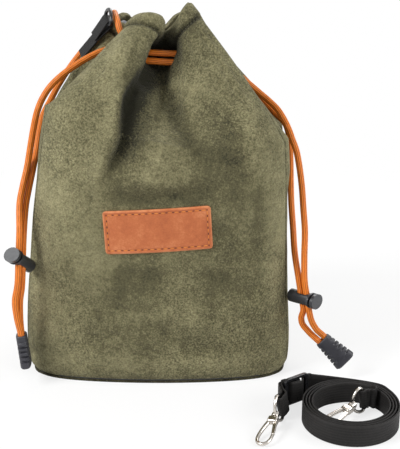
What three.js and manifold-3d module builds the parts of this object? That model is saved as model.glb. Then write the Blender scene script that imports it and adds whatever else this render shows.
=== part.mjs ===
// A drawstring camera shoulder bag with its loose shoulder strap coiled beside it.
// Millimetres, +Z up, front towards -Y. The origin is the middle of the pouch's base, on the floor.
import * as THREE from 'three';
import { mergeVertices } from 'three/addons/utils/BufferGeometryUtils.js';
import Module from 'manifold-3d';

const wasm = await Module();
wasm.setup();

const { PI, sin, cos, abs, sign, sqrt, min, max, round } = Math;

// Clearance between pieces that touch
const gap = 0.3;
const seam = 0.5;

// Layers of the pouch, from outside to inside
const suede = 1.6;
const foam = 4;
const liner = 0.8;
const base = 1.8;
const board = 2;

// Pouch outline, as [height, half width] lists for each side, and its half depth
const leftEdge = [[0, 96], [15, 98.5], [45, 97.5], [83, 93.5], [120, 89.2], [147, 84.8], [172, 80.5], [200, 76]];
const rightEdge = [[0, 92], [15, 93.5], [45, 92.3], [83, 90.6], [120, 89.6], [147, 89], [172, 87.5], [200, 85]];
const halfDepth = 60;
const cornerPower = 7;
const frontSwell = [[0, 8], [50, 12], [130, 10], [200, 5]];
const backSwell = [[0, 4], [100, 6], [200, 3]];

// Height at which the walls start to lean in, going round from the front left corner.
// Each whole number is a corner seam: 0 front left, 1 front right, 2 back right, 3 back left.
const shoulder = [[0, 197], [0.5, 176], [1, 172], [1.5, 171], [2, 178], [2.5, 182], [3, 188], [3.5, 186]];

// Gathered rim: [way round, x, y, z, lift of the wall below it]. Four folds with four valleys between.
const rim = [
  [0, -17, -4, 249, 0], [0.2, -7, -19, 255, 3], [0.35, 3, -14, 251, -6], [0.5, 3, 3, 239, -22],
  [0.64, 11, -4, 247, -6], [0.8, 15, -11, 255, 1], [1, 20, -7, 260, 8], [1.16, 20, 0, 255, -2],
  [1.37, 12, 8, 245, -30], [1.58, 24, 19, 248, -26], [1.8, 25, 28, 249, -18], [2, 18, 34, 249, -6],
  [2.3, 9, 32, 246, -4], [2.5, 0, 20, 239, -20], [2.7, -9, 33, 243, -4], [3, -19, 33, 243, 4],
  [3.15, -24.5, 29, 248, 6], [3.3, -28, 23, 248, 6], [3.5, -30.5, 14, 245.5, 5], [3.76, -13, 7, 239, -24],
];

// Leather patch
const patchWide = 72.5;
const patchTall = 30;
const patchThick = 1.8;
const patchCentre = [-0.3, 117.2];
const patchTurn = 0.058;
const patchCorner = 2.5;

// Drawcords and the ring that they follow round the mouth
const cordRadius = 2.25;
const cordSpacing = 5.1;
const ringCentre = [0, 9.5];
const ringReach = [38.5, 25];
const ringHeight = 220.8;
const neckFoot = 188;
const neckTall = 32.8;
const ringSlope = 0.06;
const ringTaper = 0.75;
const slotWide = 6;

// Cord lock
const lockRadius = 4.7;
const lockLength = 19.6;
const lockBore = 3.6;
const stemRadius = 3.3;
const flangeThick = 1.3;
const flangeReach = [6.4, 5.4];
const headThick = 2.4;
const buttonTravel = 1.3;
const buttonStand = 1.6;
const springWire = 0.3;
const springRadius = 2.4;
const springTurns = 2.5;

// Cord-end clip
const clipLength = 24;
const clipTop = 11.2;
const clipEnd = 17;
const clipThick = 7.6;
const clipRibs = 5;
const clipSocket = 6;

// Webbing, tabs, rings, slider and snap hooks
const webWide = 15;
const webThick = 1.1;
const tabLength = 31;
const ringWire = 1.3;
const ringBar = 8;
const ringReachOut = 8;
const coilCentre = [127, -119.2];
const coilRadius = 32;
const coilPitch = 2;
const coilTurns = 3.875;
const strapLift = 3;
const sliderLong = 20.6;
const sliderTall = 20.4;
const sliderThick = 2.4;
const sliderSlot = 6.2;
const sliderBar = 3;
const eyeWire = 1.1;
const eyeBar = 8.2;
const eyeReach = 9.6;
const hookWire = 1.15;
const gateThick = 1.8;
const pinRadius = 0.7;

const V = (x, y, z) => new THREE.Vector3(x, y, z);

// Places on the neck are given for a ring of cords that lies neckTall above neckFoot, and follow the ring
const neckShare = (ringHeight - neckFoot) / neckTall;
const atNeck = (x, y, z) => V(x, y, z > neckFoot ? neckFoot + (z - neckFoot) * neckShare : z);

// Smooth curve through [position, value] pairs
function along(list, at) {
  let i = 0;
  while (i < list.length - 2 && at > list[i + 1][0]) i++;
  const slope = (j) => {
    const a = list[max(j - 1, 0)];
    const b = list[min(j + 1, list.length - 1)];
    return (b[1] - a[1]) / (b[0] - a[0]);
  };
  return hermite(list[i][0], list[i + 1][0], list[i][1], list[i + 1][1], slope(i), slope(i + 1), at);
}

function hermite(t0, t1, p0, p1, m0, m1, at) {
  const h = t1 - t0;
  const t = min(max((at - t0) / h, 0), 1);
  const a = 2 * t ** 3 - 3 * t ** 2 + 1;
  const b = t ** 3 - 2 * t ** 2 + t;
  const c = -2 * t ** 3 + 3 * t ** 2;
  const d = t ** 3 - t ** 2;
  return a * p0 + b * h * m0 + c * p1 + d * h * m1;
}

// The same, for a list that closes on itself after the four panels, for one of its columns
function around(list, u, column) {
  const n = list.length;
  const at = ((u % 4) + 4) % 4;
  const item = (j) => {
    const turns = Math.floor(j / n);
    const entry = list[j - turns * n];
    return [entry[0] + 4 * turns, entry[column]];
  };
  let i = n - 1;
  while (i > 0 && item(i)[0] > at) i--;
  const [[ta, pa], [t0, p0], [t1, p1], [tb, pb]] = [item(i - 1), item(i), item(i + 1), item(i + 2)];
  return hermite(t0, t1, p0, p1, (p1 - pa) / (t1 - ta), (pb - p0) / (tb - t0), at);
}

// Plan outline of the body at one height: a box with rounded corners and swollen front and back
const seamShare = 2 ** (-1 / cornerPower);
function body(u, z) {
  const panel = Math.floor(((u % 4) + 4) % 4 + 1e-9);
  const across = 2 * (((u % 4) + 4) % 4 - panel) - 1;
  const share = seamShare * across;
  const other = (1 - abs(share) ** cornerPower) ** (1 / cornerPower);
  const [x, y] = [[share, -other], [other, share], [-share, other], [-other, -share]][panel];
  const swell = panel === 0 ? along(frontSwell, z) : panel === 2 ? along(backSwell, z) : 0;
  const bulge = swell * (1 - across ** 2) * (panel === 0 ? -1 : 1);
  return V(x * along(x < 0 ? leftEdge : rightEdge, z), y * halfDepth + bulge, z);
}

// The pouch's outer surface. Level 0 is the foot, 1 the shoulder and 2 the rim.
const foot = base + gap;
function wall(u, level) {
  const top = around(shoulder, u, 1);
  if (level <= 1) return body(u, foot + (top - foot) * level);
  const w = level - 1;
  const start = body(u, top);
  const end = atNeck(around(rim, u, 1), around(rim, u, 2), around(rim, u, 3));
  const middle = start.clone().lerp(end, 0.3).add(V(0, 0, (around(rim, u, 4) + 4) * neckShare));
  const rise = start.clone().multiplyScalar((1 - w) ** 2).addScaledVector(middle, 2 * w * (1 - w));
  return rise.addScaledVector(end, w ** 2);
}

// A point under that surface, by a depth along its normal
function under(u, level, depth) {
  const step = 0.01;
  const low = max(level - step, 0);
  const high = min(level + step, 2);
  const side = wall(u + step, level).sub(wall(u - step, level));
  const up = wall(u, high).sub(wall(u, low));
  return wall(u, level).addScaledVector(side.cross(up).normalize(), -depth);
}

// Closed solid through a list of rings with equal counts, closed by strips, by fans or end to start
function skin(rings, ends = 'strips') {
  const n = rings[0].length;
  const last = ends === 'loop' ? rings.length : rings.length - 1;
  const points = rings.flat();
  const faces = [];
  for (let r = 0; r < last; r++) {
    const next = (r + 1) % rings.length;
    for (let i = 0; i < n; i++) {
      const j = (i + 1) % n;
      const [a, b, c, d] = [r * n + i, r * n + j, next * n + j, next * n + i];
      faces.push([a, b, c], [a, c, d]);
    }
  }
  for (const [first, turn] of ends === 'loop' ? [] : [[0, true], [last * n, false]]) {
    if (ends === 'strips') {
      for (let i = 0; i < n / 2 - 1; i++) {
        const [a, b, c, d] = [first + i, first + i + 1, first + n - 2 - i, first + n - 1 - i];
        faces.push(...(turn ? [[a, c, b], [a, d, c]] : [[a, b, c], [a, c, d]]));
      }
    } else {
      const centre = points.length;
      const sum = rings[first / n].reduce((total, p) => total.add(p), V(0, 0, 0));
      points.push(sum.divideScalar(n));
      for (let i = 0; i < n; i++) {
        const j = (i + 1) % n;
        faces.push(turn ? [centre, first + j, first + i] : [centre, first + i, first + j]);
      }
    }
  }
  return fromFaces(points, faces);
}

function fromFaces(points, faces) {
  let volume = 0;
  for (const [a, b, c] of faces) volume += points[a].dot(points[b].clone().cross(points[c]));
  const geometry = new THREE.BufferGeometry();
  geometry.setAttribute('position', new THREE.Float32BufferAttribute(points.flatMap((p) => [p.x, p.y, p.z]), 3));
  geometry.setIndex(faces.flatMap((f) => (volume > 0 ? f : [f[0], f[2], f[1]])));
  return geometry;
}

function merged(geometry) {
  const plain = geometry.clone();
  plain.deleteAttribute('normal');
  plain.deleteAttribute('uv');
  return mergeVertices(plain, 1e-4);
}

// Joining and cutting closed meshes
function solid(geometry) {
  const clean = merged(geometry);
  const vertProperties = new Float32Array(clean.attributes.position.array);
  const triVerts = new Uint32Array(clean.index.array);
  return new wasm.Manifold(new wasm.Mesh({ numProp: 3, vertProperties, triVerts }));
}

function shell(manifold) {
  const { vertProperties, triVerts } = manifold.getMesh();
  const geometry = new THREE.BufferGeometry();
  geometry.setAttribute('position', new THREE.BufferAttribute(vertProperties, 3));
  geometry.setIndex(new THREE.BufferAttribute(triVerts, 1));
  return geometry;
}

const join = (first, ...rest) => shell(rest.reduce((all, g) => all.add(solid(g)), solid(first)));
const cut = (first, ...rest) => shell(rest.reduce((all, g) => all.subtract(solid(g)), solid(first)));

// A round bar along a line of points
function polygon(radius, sides) {
  const shape = new THREE.Shape();
  for (let i = 0; i < sides; i++) {
    const turn = (2 * PI * (i + 0.5)) / sides;
    const [x, y] = [radius * cos(turn), radius * sin(turn)];
    if (i === 0) shape.moveTo(x, y);
    else shape.lineTo(x, y);
  }
  shape.closePath();
  return shape;
}

function bar(points, radius, sides, stride) {
  const path = new THREE.CatmullRomCurve3(points, false, 'centripetal');
  const steps = max(round(path.getLength() / stride), 1);
  return merged(new THREE.ExtrudeGeometry(polygon(radius, sides), { steps, extrudePath: path, bevelEnabled: false }));
}

// A turned piece along local X from a closed profile of [x, radius] points
function turned(profile, sides) {
  const outline = profile.map(([x, r]) => new THREE.Vector2(max(r, 0), x));
  return merged(new THREE.LatheGeometry(outline, sides)).rotateZ(-PI / 2);
}

// A flat plate of an outline of [x, y] points, centred on z = 0
function plate(outline, thick) {
  const shape = new THREE.Shape(outline.map(([x, y]) => new THREE.Vector2(x, y)));
  const geometry = new THREE.ExtrudeGeometry(shape, { depth: thick, bevelEnabled: false });
  return merged(geometry).translate(0, 0, -thick / 2);
}

function roundedBox(wide, tall, corner, steps = 3) {
  const outline = [];
  for (const [sx, sy, start] of [[1, 1, 0], [-1, 1, 1], [-1, -1, 2], [1, -1, 3]]) {
    for (let i = 0; i <= steps; i++) {
      const turn = ((start + i / steps) * PI) / 2;
      const x = sx * (wide / 2 - corner) + corner * cos(turn);
      outline.push([x, sy * (tall / 2 - corner) + corner * sin(turn)]);
    }
  }
  return outline;
}

// Placement: local X, Y and Z directions at a point
function frameAt(origin, x, z) {
  const ex = x.clone().normalize();
  const ey = z.clone().cross(ex).normalize();
  const ez = ex.clone().cross(ey);
  return new THREE.Matrix4().makeBasis(ex, ey, ez).setPosition(origin);
}

const group = new THREE.Group();
function add(name, geometry, colour, roughness, metalness = 0) {
  const material = new THREE.MeshStandardMaterial({ color: colour, roughness, metalness });
  const mesh = new THREE.Mesh(geometry, material);
  mesh.name = name;
  group.add(mesh);
  return mesh;
}

const olive = 0x6f6c45;
const grey = 0xc9cbcc;
const tan = 0xc8642c;
const orange = 0xd96f1e;
const black = 0x1c1c1e;
const nickel = 0xb9b4ad;

// The grid that the walls' layers share: columns round each panel and levels up it
const columnCounts = [18, 11, 14, 12];
const wallLevels = [0, 0.08, 0.3, 0.55, 0.78, 0.92, 1, 1.12, 1.25, 1.4, 1.55, 1.7, 1.85, 2];
function panelColumns(corner) {
  const count = columnCounts[corner];
  return [...Array(count + 1).keys()].map((i) => corner + i / count);
}

// A wall panel, as a layer between two depths. Its side edges draw in by half a seam.
function layer(columns, levels, outer, inner) {
  const rings = levels.map((level) => {
    const row = (depth) => {
      const points = columns.map((u) => under(u, level, depth));
      const [n, inset] = [points.length, seam / 2];
      const nudge = (end, next) => next.clone().sub(end).setLength(inset);
      const [first, final] = [nudge(points[0], points[1]), nudge(points[n - 1], points[n - 2])];
      points[0].add(first);
      points[n - 1].add(final);
      return points;
    };
    return [...row(outer), ...row(inner).reverse()];
  });
  return skin(rings);
}

// The track of the drawcords round the mouth, from a start to an end angle in turns, in plan.
// Turn 0 is at the left and the track runs by the front to the right.
function ringTrack(turn, rise) {
  const angle = PI + 2 * PI * turn;
  const x = ringCentre[0] + (ringReach[0] - ringTaper * rise) * cos(angle);
  const y = ringCentre[1] + (ringReach[1] - ringTaper * rise) * sin(angle);
  return V(x, y, ringHeight + rise - ringSlope * x);
}

// The slot through the folds takes both cords, one above the other
function slotCutter() {
  const steps = 40;
  const [low, high] = [-slotWide / 2, cordSpacing + slotWide / 2];
  return skin([...Array(steps).keys()].map((i) => {
    const angle = PI + (2 * PI * i) / steps;
    const half = (slotWide / 2) * Math.hypot(1, ringTaper);
    const corner = (side, rise) =>
      ringTrack(i / steps, rise).add(V(cos(angle), sin(angle), 0).multiplyScalar(side * half));
    return [corner(1, high), corner(-1, high), corner(-1, low), corner(1, low)];
  }), 'loop');
}

const slots = slotCutter();
for (const [corner, name] of ['front_panel', 'side_panel_right', 'back_panel', 'side_panel_left'].entries()) {
  add(name, cut(layer(panelColumns(corner), wallLevels, 0, suede), slots), olive, 0.95);
}

// Foam sheets behind the panels, up to the shoulder, standing on the base board
const foamOuter = suede + gap;
const foamInner = foamOuter + foam;
const foamLevels = [0.017, ...wallLevels.slice(1, 6)];
for (const [corner, name] of ['foam_front', 'foam_right', 'foam_back', 'foam_left'].entries()) {
  add(name, layer(panelColumns(corner).slice(1, -1), foamLevels, foamOuter, foamInner), 0xe8e4d8, 0.9);
}

// Flat pieces under the body's plan outline
function floorPlate(depth, low, high) {
  const loop = (z) => {
    const points = [];
    for (let i = 0; i < 48; i++) {
      const p = under(i / 12, 0, depth);
      points.push(V(p.x, p.y, z));
    }
    return points;
  };
  return skin([loop(low), loop(high)], 'fans');
}
add('base_panel', floorPlate(0, 0, base), olive, 0.95);
add('base_board', floorPlate(suede + gap, foot, foot + board), 0x2b2b2b, 0.8);

// Lining: an open cup from its own bottom to just below the rim
const liningFloor = foot + board + gap;
const liningTop = 1.93;
function liningDepth(level) {
  const deep = foamInner + gap;
  const thin = suede + 5 * gap;
  return hermite(wallLevels[5], wallLevels[7], deep, thin, 0, 0, level);
}
function lining() {
  const columns = [0, 1, 2, 3].flatMap((corner) => panelColumns(corner).slice(0, -1));
  const levels = [foamLevels[0], ...wallLevels.slice(1, -1), liningTop];
  const loop = (level, extra, z) => columns.map((u) => {
    const p = under(u, level, liningDepth(level) + extra);
    return z === undefined ? p : V(p.x, p.y, z);
  });
  const outside = levels.map((level) => loop(level, 0));
  const inside = levels.map((level) => loop(level, liner)).reverse();
  inside.pop();
  const floor = [loop(levels[0], 0, liningFloor), loop(levels[0], liner, liningFloor + liner)];
  return skin([floor[0], ...outside.slice(1), ...inside, floor[1]], 'fans');
}
add('lining', cut(lining(), slots), grey, 0.8);

// Leather patch, bent to the front panel
function frontFace(x, z) {
  const half = along(x < 0 ? leftEdge : rightEdge, z);
  const across = x / half / seamShare;
  const share = abs(x / half);
  const bulge = along(frontSwell, z) * (1 - across ** 2);
  return -halfDepth * (1 - share ** cornerPower) ** (1 / cornerPower) - bulge;
}
function patch() {
  const columns = 8;
  const rows = [-1, -0.93, -0.84, -0.3, 0.3, 0.84, 0.93, 1];
  const rings = rows.map((row) => {
    const z = (row * patchTall) / 2;
    const into = max(abs(z) - (patchTall / 2 - patchCorner), 0);
    const half = patchWide / 2 - patchCorner + sqrt(max(patchCorner ** 2 - into ** 2, 0.01));
    const place = (i, depth) => {
      const x = half * ((2 * i) / columns - 1);
      const px = patchCentre[0] + x * cos(patchTurn) - z * sin(patchTurn);
      const pz = patchCentre[1] + x * sin(patchTurn) + z * cos(patchTurn);
      return V(px, frontFace(px, pz) - gap - depth, pz);
    };
    const line = [...Array(columns + 1).keys()];
    return [...line.map((i) => place(i, patchThick)), ...line.map((i) => place(i, 0)).reverse()];
  });
  return skin(rings);
}
add('leather_patch', patch(), tan, 0.6);

// Drawcords. The ends of the upper one leave at the left and those of the lower one at the right.
// Each route is a list of points from the slot to the straight stretch at the cord lock.
const leftLock = {
  centre: V(-95, -62.7, 92.6), down: V(-0.04, -0.3, -0.95), axis: V(0.41, 0.655, -0.636), above: 19, below: 17,
};
const rightLock = {
  centre: V(101.5, -54.8, 60.7), down: V(0.16, -0.2, -0.97), axis: V(-0.735, 0.675, -0.05), above: 13, below: 9,
};
const leftClip = { top: V(-97.2, -66, 38.5), down: V(0.1, -0.04, -0.99), wide: V(0.1, -0.99, 0.05) };
const rightClip = { top: V(114.8, -57, 30), down: V(0.73, -0.12, -0.68), wide: V(0.67, 0.1, 0.73) };

// A place on the wall with the cord lying on it
const rest = (u, level, clear = cordRadius + 2 * gap) => under(u, level, -clear);
const leftRouteA = [
  atNeck(-46.5, -9.5, 224), atNeck(-55, -12.5, 219.6), atNeck(-66, -16.5, 212.5), atNeck(-75, -19.5, 204.5),
  atNeck(-80.6, -22, 196.5), V(-84.3, -24, 188), V(-86.9, -25.8, 178), V(-89.2, -28.1, 166.5),
  V(-92, -33.1, 150.6), V(-94.4, -39.6, 139.5), V(-96.2, -46.6, 128.6),
];
const leftRouteB = [
  atNeck(-28.4, 0.2, 233), atNeck(-26.6, 1, 236.5), atNeck(-28.2, 2.4, 240.3), atNeck(-29.4, 4.7, 244.2),
  atNeck(-30.8, 8.6, 247), atNeck(-31.8, 13.6, 248.4), atNeck(-33, 19.2, 249.2), rest(3.28, 1.9),
  rest(3.24, 1.78), rest(3.22, 1.66), rest(3.22, 1.55), rest(3.22, 1.4), rest(3.24, 1.25), rest(3.3, 1.12),
  rest(3.38, 1), V(-84.8, 4, 179), V(-86.4, -8, 169), V(-87.6, -19, 157), V(-88.6, -29.9, 148.2),
  V(-90.8, -36.4, 137.1), V(-92.6, -43.4, 126.2),
];
const rightRouteA = [
  atNeck(50, -3.2, 212), atNeck(58.3, -3, 206.4), atNeck(63, -3, 202.4), atNeck(69.5, -4, 197),
  atNeck(76.3, -7.5, 191.8), V(82.3, -12, 186.6), V(86.3, -17, 181.2), V(89.6, -21, 175), V(92.2, -25, 168.3),
  V(95, -27, 161), V(97.2, -29, 150.8), V(99.2, -33, 136.4), V(100.2, -38, 122.7), V(101.3, -43.5, 107.4),
  V(101, -49, 89.7),
];
const rightRouteB = [
  atNeck(50, 2.4, 212.5), atNeck(59, 2.2, 203.5), atNeck(68, 1.6, 194.6), V(76, -1, 187), V(82, -5, 181.5),
  V(88.2, -8.5, 175.8), V(91, -10, 168), V(92.2, -10, 158), V(92.8, -11, 147), V(93.2, -13, 134),
  V(93.6, -18, 120), V(94.2, -30, 105.5), V(95, -41, 89.7),
];
const leftTailA = [V(-99.3, -69.6, 65), V(-98.7, -69.4, 52)];
const leftTailB = [V(-96.6, -65.6, 64), V(-97.6, -64.2, 51)];
const rightTailA = [V(106.9, -58, 44.5), V(110.7, -57.6, 37.8)];
const rightTailB = [V(99.9, -53.8, 45.4), V(100.8, -54.1, 40.8), V(104.4, -55, 36.2), V(108.6, -56, 32)];

function lockFrame(lock) {
  const along3 = lock.axis.clone().normalize();
  return frameAt(lock.centre, along3, lock.down.clone().negate());
}

// One strand, from the ring's end through the lock to its socket in the clip
function strand(route, lock, side, tail, clip, clipSide) {
  const down = lock.down.clone().normalize();
  const across = lock.axis.clone().normalize().multiplyScalar((side * cordSpacing) / 2);
  const straight = (t) => lock.centre.clone().add(across).addScaledVector(down, t);
  const reach = clip.down.clone().normalize();
  const entry = clip.top.clone().addScaledVector(clip.wide.clone().normalize(), (clipSide * cordSpacing) / 2);
  const lead = [straight(-lock.above), straight(0), straight(lock.below)];
  const plug = [entry.clone().addScaledVector(reach, -2), entry.clone().addScaledVector(reach, clipSocket - gap)];
  return [...route, ...lead, ...tail, ...plug];
}

// The stretch round the mouth, ending square in the open just outside the folds
function mouthStretch(start, finish, rise) {
  const steps = 24;
  const points = [start.at, past(start, -3)];
  for (let i = 0; i <= steps; i++) points.push(ringTrack(start.turn + ((finish.turn - start.turn) * i) / steps, rise));
  points.push(past(finish, -3), finish.at);
  return points;
}
const past = (exit, reach) => exit.at.clone().addScaledVector(exit.out.clone().normalize(), reach);

// A free strand starts a gap past that end
const freeStrand = (exit, points) => [past(exit, gap), past(exit, 3), ...points];

const leftStart = { turn: 0.08, at: atNeck(-38, -6.4, 227), out: V(-0.93, -0.3, -0.26) };
const leftFinish = { turn: 1.02, at: atNeck(-31.8, 1.2, 229.6), out: V(0.72, -0.35, 0.6) };
const rightStart = { turn: 0.43, at: atNeck(41.5, -2.8, 217.2), out: V(0.9, -0.1, -0.42) };
const rightFinish = { turn: -0.505, at: atNeck(42.6, 3.6, 220.2), out: V(0.96, 0.16, 0.02) };
const cordNodes = [
  ['drawcord_left_mouth', mouthStretch(leftStart, leftFinish, cordSpacing), 8],
  ['drawcord_right_mouth', mouthStretch(rightStart, rightFinish, 0), 8],
  ['cord_left_front', freeStrand(leftStart, strand(leftRouteA, leftLock, -1, leftTailA, leftClip, 1)), 9],
  ['cord_left_back', freeStrand(leftFinish, strand(leftRouteB, leftLock, 1, leftTailB, leftClip, -1)), 9],
  ['cord_right_front', freeStrand(rightStart, strand(rightRouteA, rightLock, -1, rightTailA, rightClip, 1)), 8],
  ['cord_right_back', freeStrand(rightFinish, strand(rightRouteB, rightLock, 1, rightTailB, rightClip, -1)), 8],
];
for (const [name, points, stride] of cordNodes) add(name, bar(points, cordRadius, 8, stride), orange, 0.85);

// Cord locks. Local X runs from the button's head to the barrel's end, and X = 0 is between the cords.
const cordSlotHalf = cordSpacing / 2 + cordRadius + gap + 0.5;
const flangeFace = -cordSlotHalf - flangeThick - 0.2;
const barrelEnd = flangeFace + lockLength;
function oval(reach, thick, from) {
  const outline = [];
  for (let i = 0; i < 20; i++) outline.push([reach[0] * cos((PI * i) / 10), reach[1] * sin((PI * i) / 10)]);
  return plate(outline, thick).rotateY(PI / 2).rotateX(PI / 2).translate(from + thick / 2, 0, 0);
}
function cordSlot(lock, from, to) {
  // A straight slot along the cords, in the lock's own frame
  const half = cordRadius + gap;
  const outline = [];
  for (const [end, start] of [[to - half, -1], [from + half, 1]]) {
    for (let i = 0; i <= 4; i++) {
      const turn = (start * PI) / 2 + (PI * i) / 4;
      outline.push([end + half * cos(turn), half * sin(turn)]);
    }
  }
  const inverse = lockFrame(lock).invert();
  const down = lock.down.clone().normalize().transformDirection(inverse);
  const tilt = new THREE.Matrix4().makeBasis(V(1, 0, 0), V(0, 1, 0), down.divideScalar(down.z));
  return plate(outline, 30).applyMatrix4(tilt);
}
function lockBody(lock) {
  const barrel = turned([[flangeFace, 0], [flangeFace, lockRadius], [barrelEnd - 0.8, lockRadius],
    [barrelEnd, lockRadius - 0.8], [barrelEnd, 0]], 16);
  const bore = turned([[flangeFace - 1, 0], [flangeFace - 1, lockBore], [barrelEnd - 1, lockBore], [barrelEnd - 1, 0]], 16);
  const flange = oval(flangeReach, flangeThick, flangeFace);
  return cut(join(barrel, flange), bore, cordSlot(lock, -cordSlotHalf, cordSlotHalf));
}
const headFace = flangeFace - buttonStand - headThick;
const stemEnd = cordSlotHalf + 0.9;
function lockButton(lock) {
  const head = oval(flangeReach, headThick, headFace);
  const stem = turned([[headFace + 1, 0], [headFace + 1, stemRadius], [stemEnd, stemRadius], [stemEnd, 0]], 16);
  return cut(join(head, stem), cordSlot(lock, -cordSlotHalf - buttonTravel, cordSlotHalf));
}
function lockSpring() {
  const points = [];
  const from = stemEnd + gap + springWire;
  const to = barrelEnd - 1 - gap - springWire;
  const steps = springTurns * 8;
  for (let i = 0; i <= steps; i++) {
    const turn = (2 * PI * i) / 8;
    points.push(V(from + ((to - from) * i) / steps, springRadius * cos(turn), springRadius * sin(turn)));
  }
  return bar(points, springWire, 5, 2 * PI * springRadius / 8);
}

// Cord-end clip: a flat wedge with a ribbed edge each side. Local X runs down the clip and Y across it.
function cordClip() {
  const side = [];
  const pitch = clipLength / (clipRibs + 1);
  const half = (x) => (clipTop + (clipEnd - clipTop) * (x / clipLength)) / 2;
  side.push([0, half(0)]);
  for (let i = 0; i < clipRibs; i++) {
    const x = pitch * (i + 0.7);
    side.push([x, half(x)], [x + 0.3, half(x) - 1.1], [x + pitch * 0.6, half(x) - 0.9]);
  }
  side.push([clipLength - 2, half(clipLength)], [clipLength - 0.6, half(clipLength) - 0.4]);
  side.push([clipLength, half(clipLength) - 2]);
  const outline = [...side, ...side.map(([x, y]) => [x, -y]).reverse()];
  const socketLong = cordSpacing + 2 * (cordRadius + gap);
  const socket = plate(roundedBox(2 * (cordRadius + gap), socketLong, cordRadius + gap - 0.05, 3), clipSocket * 2);
  return cut(plate(outline, clipThick), socket.rotateY(PI / 2));
}

for (const [side, lock, clip] of [['left', leftLock, leftClip], ['right', rightLock, rightClip]]) {
  const at = lockFrame(lock);
  add(`${side}_lock_body`, lockBody(lock).applyMatrix4(at), black, 0.5);
  add(`${side}_lock_button`, lockButton(lock).applyMatrix4(at), black, 0.45);
  add(`${side}_lock_spring`, lockSpring().applyMatrix4(at), nickel, 0.3, 1);
  const clipZ = clip.down.clone().cross(clip.wide);
  add(`${side}_cord_end`, cordClip().applyMatrix4(frameAt(clip.top, clip.down, clipZ)), black, 0.5);
}

// Flat webbing along a line of points, each with its own upward direction
function ribbon(points, ups, wide, thick) {
  const rings = points.map((p, i) => {
    const before = points[max(i - 1, 0)];
    const after = points[min(i + 1, points.length - 1)];
    const heading = after.clone().sub(before).normalize();
    const up = ups[i].clone().normalize();
    const out = heading.clone().cross(up).normalize().multiplyScalar(thick / 2);
    const half = up.multiplyScalar(wide / 2);
    return [[1, 1], [1, -1], [-1, -1], [-1, 1]].map(([a, b]) =>
      p.clone().addScaledVector(out, a).addScaledVector(half, b));
  });
  return skin(rings);
}

// The two legs of webbing round a bar: out along a middle line, round the bar and back.
// The line's last point is the bar's axis. Returns plan offsets as [x, y] for each leg.
function roundBar(line, spacing, barRadius) {
  const radius = barRadius + 0.3 + webThick / 2;
  const n = line.length;
  const away = (i) => {
    const [a, b] = [line[max(i - 1, 0)], line[min(i + 1, n - 1)]];
    const [dx, dy] = [b[0] - a[0], b[1] - a[1]];
    const long = Math.hypot(dx, dy);
    return [-dy / long, dx / long];
  };
  const offset = (i, side) => {
    const half = i >= n - 2 ? (i === n - 1 ? radius : (spacing / 2 + radius) / 2 + 0.2) : spacing / 2;
    const [nx, ny] = away(i);
    return [line[i][0] + side * half * nx, line[i][1] + side * half * ny];
  };
  const order = [...line.keys()];
  const [nx, ny] = away(n - 1);
  const arc = [];
  for (let i = 1; i < 6; i++) {
    const turn = (PI * i) / 6;
    const [a, b] = [-cos(turn) * radius, sin(turn) * radius];
    arc.push([line[n - 1][0] + a * nx + b * ny, line[n - 1][1] + a * ny - b * nx]);
  }
  return [...order.map((i) => offset(i, -1)), ...arc, ...order.reverse().map((i) => offset(i, 1))];
}

// D-shaped ring of round wire in local X and Z, its bar on the Z axis
function dRing(halfBar, reach, wire, steps) {
  const h = halfBar + wire;
  const corners = [[0, -h * 0.86], [0, 0], [0, h * 0.86], [reach * 0.14, h * 0.99], [reach * 0.42, h * 0.94],
    [reach * 0.76, h * 0.66], [reach * 0.95, h * 0.3], [reach, 0]];
  const mirror = corners.slice(3, 7).map(([x, z]) => [x, -z]).reverse();
  const path = new THREE.CatmullRomCurve3([...corners, ...mirror].map(([x, z]) => V(x, 0, z)), true, 'centripetal');
  const rings = [];
  for (let i = 0; i < steps; i++) {
    const p = path.getPointAt(i / steps);
    const t = path.getTangentAt(i / steps);
    const side = V(0, 1, 0).cross(t).normalize();
    const sides = 8;
    rings.push([...Array(sides).keys()].map((j) => {
      const turn = (2 * PI * (j + 0.5)) / sides;
      return p.clone().addScaledVector(side, wire * cos(turn)).add(V(0, wire * sin(turn), 0));
    }));
  }
  return skin(rings, 'loop');
}

// Webbing tab and D-ring at each side. The tab leaves the wall, goes round the ring's bar and comes back.
function tab(mark, u, level, lean, barLine, swing) {
  const direction = lean.clone().normalize();
  const across = barLine.clone().addScaledVector(direction, -barLine.dot(direction)).normalize();
  const outward = across.clone().cross(direction);
  const start = under(u, level, -gap - webThick / 2 - 0.5);
  const middle = (webThick + gap) / 2;
  const line = [0, 8, 16, tabLength - 5, tabLength].map((s) => [s, middle]);
  const plan = roundBar(line, webThick + gap, ringWire).slice(0, -2);
  const points = plan.map(([s, n]) => start.clone().addScaledVector(direction, s).addScaledVector(outward, n));
  add(`strap_tab_${mark}`, ribbon(points, points.map(() => across), webWide, webThick), black, 0.8);
  const pivot = start.clone().addScaledVector(direction, tabLength).addScaledVector(outward, middle);
  const reach = direction.clone().applyAxisAngle(across, swing);
  const ring = dRing(ringBar, ringReachOut, ringWire, 26);
  add(`d_ring_${mark}`, ring.applyMatrix4(frameAt(pivot, reach, across)), black, 0.35, 0.2);
}
tab('left', 3.43, 1.57, V(0.66, 0, 0.75), V(0.44, -0.9, 0), 0.5);
tab('right', 2.2, 1.3, V(-0.42, -0.19, 0.86), V(-0.904, 0.217, -0.369), 0.1);

// Shoulder strap, in plan. The slider's own line runs from its right end to its left end.
const sliderCentre = [93.5, -94.6];
const sliderLine = [-0.82, -0.572];
const restHeight = webWide / 2 + gap;
const liftedHeight = restHeight + strapLift;
const outerBar = V(81.2, -117.2, liftedHeight);
const outerAim = V(-0.405, -0.914, 0);
const innerBar = V(137, -107.6, liftedHeight);
const innerAim = V(-0.808, -0.589, 0);
const hookLong = 38;
const hookDrop = 9.1;

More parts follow.
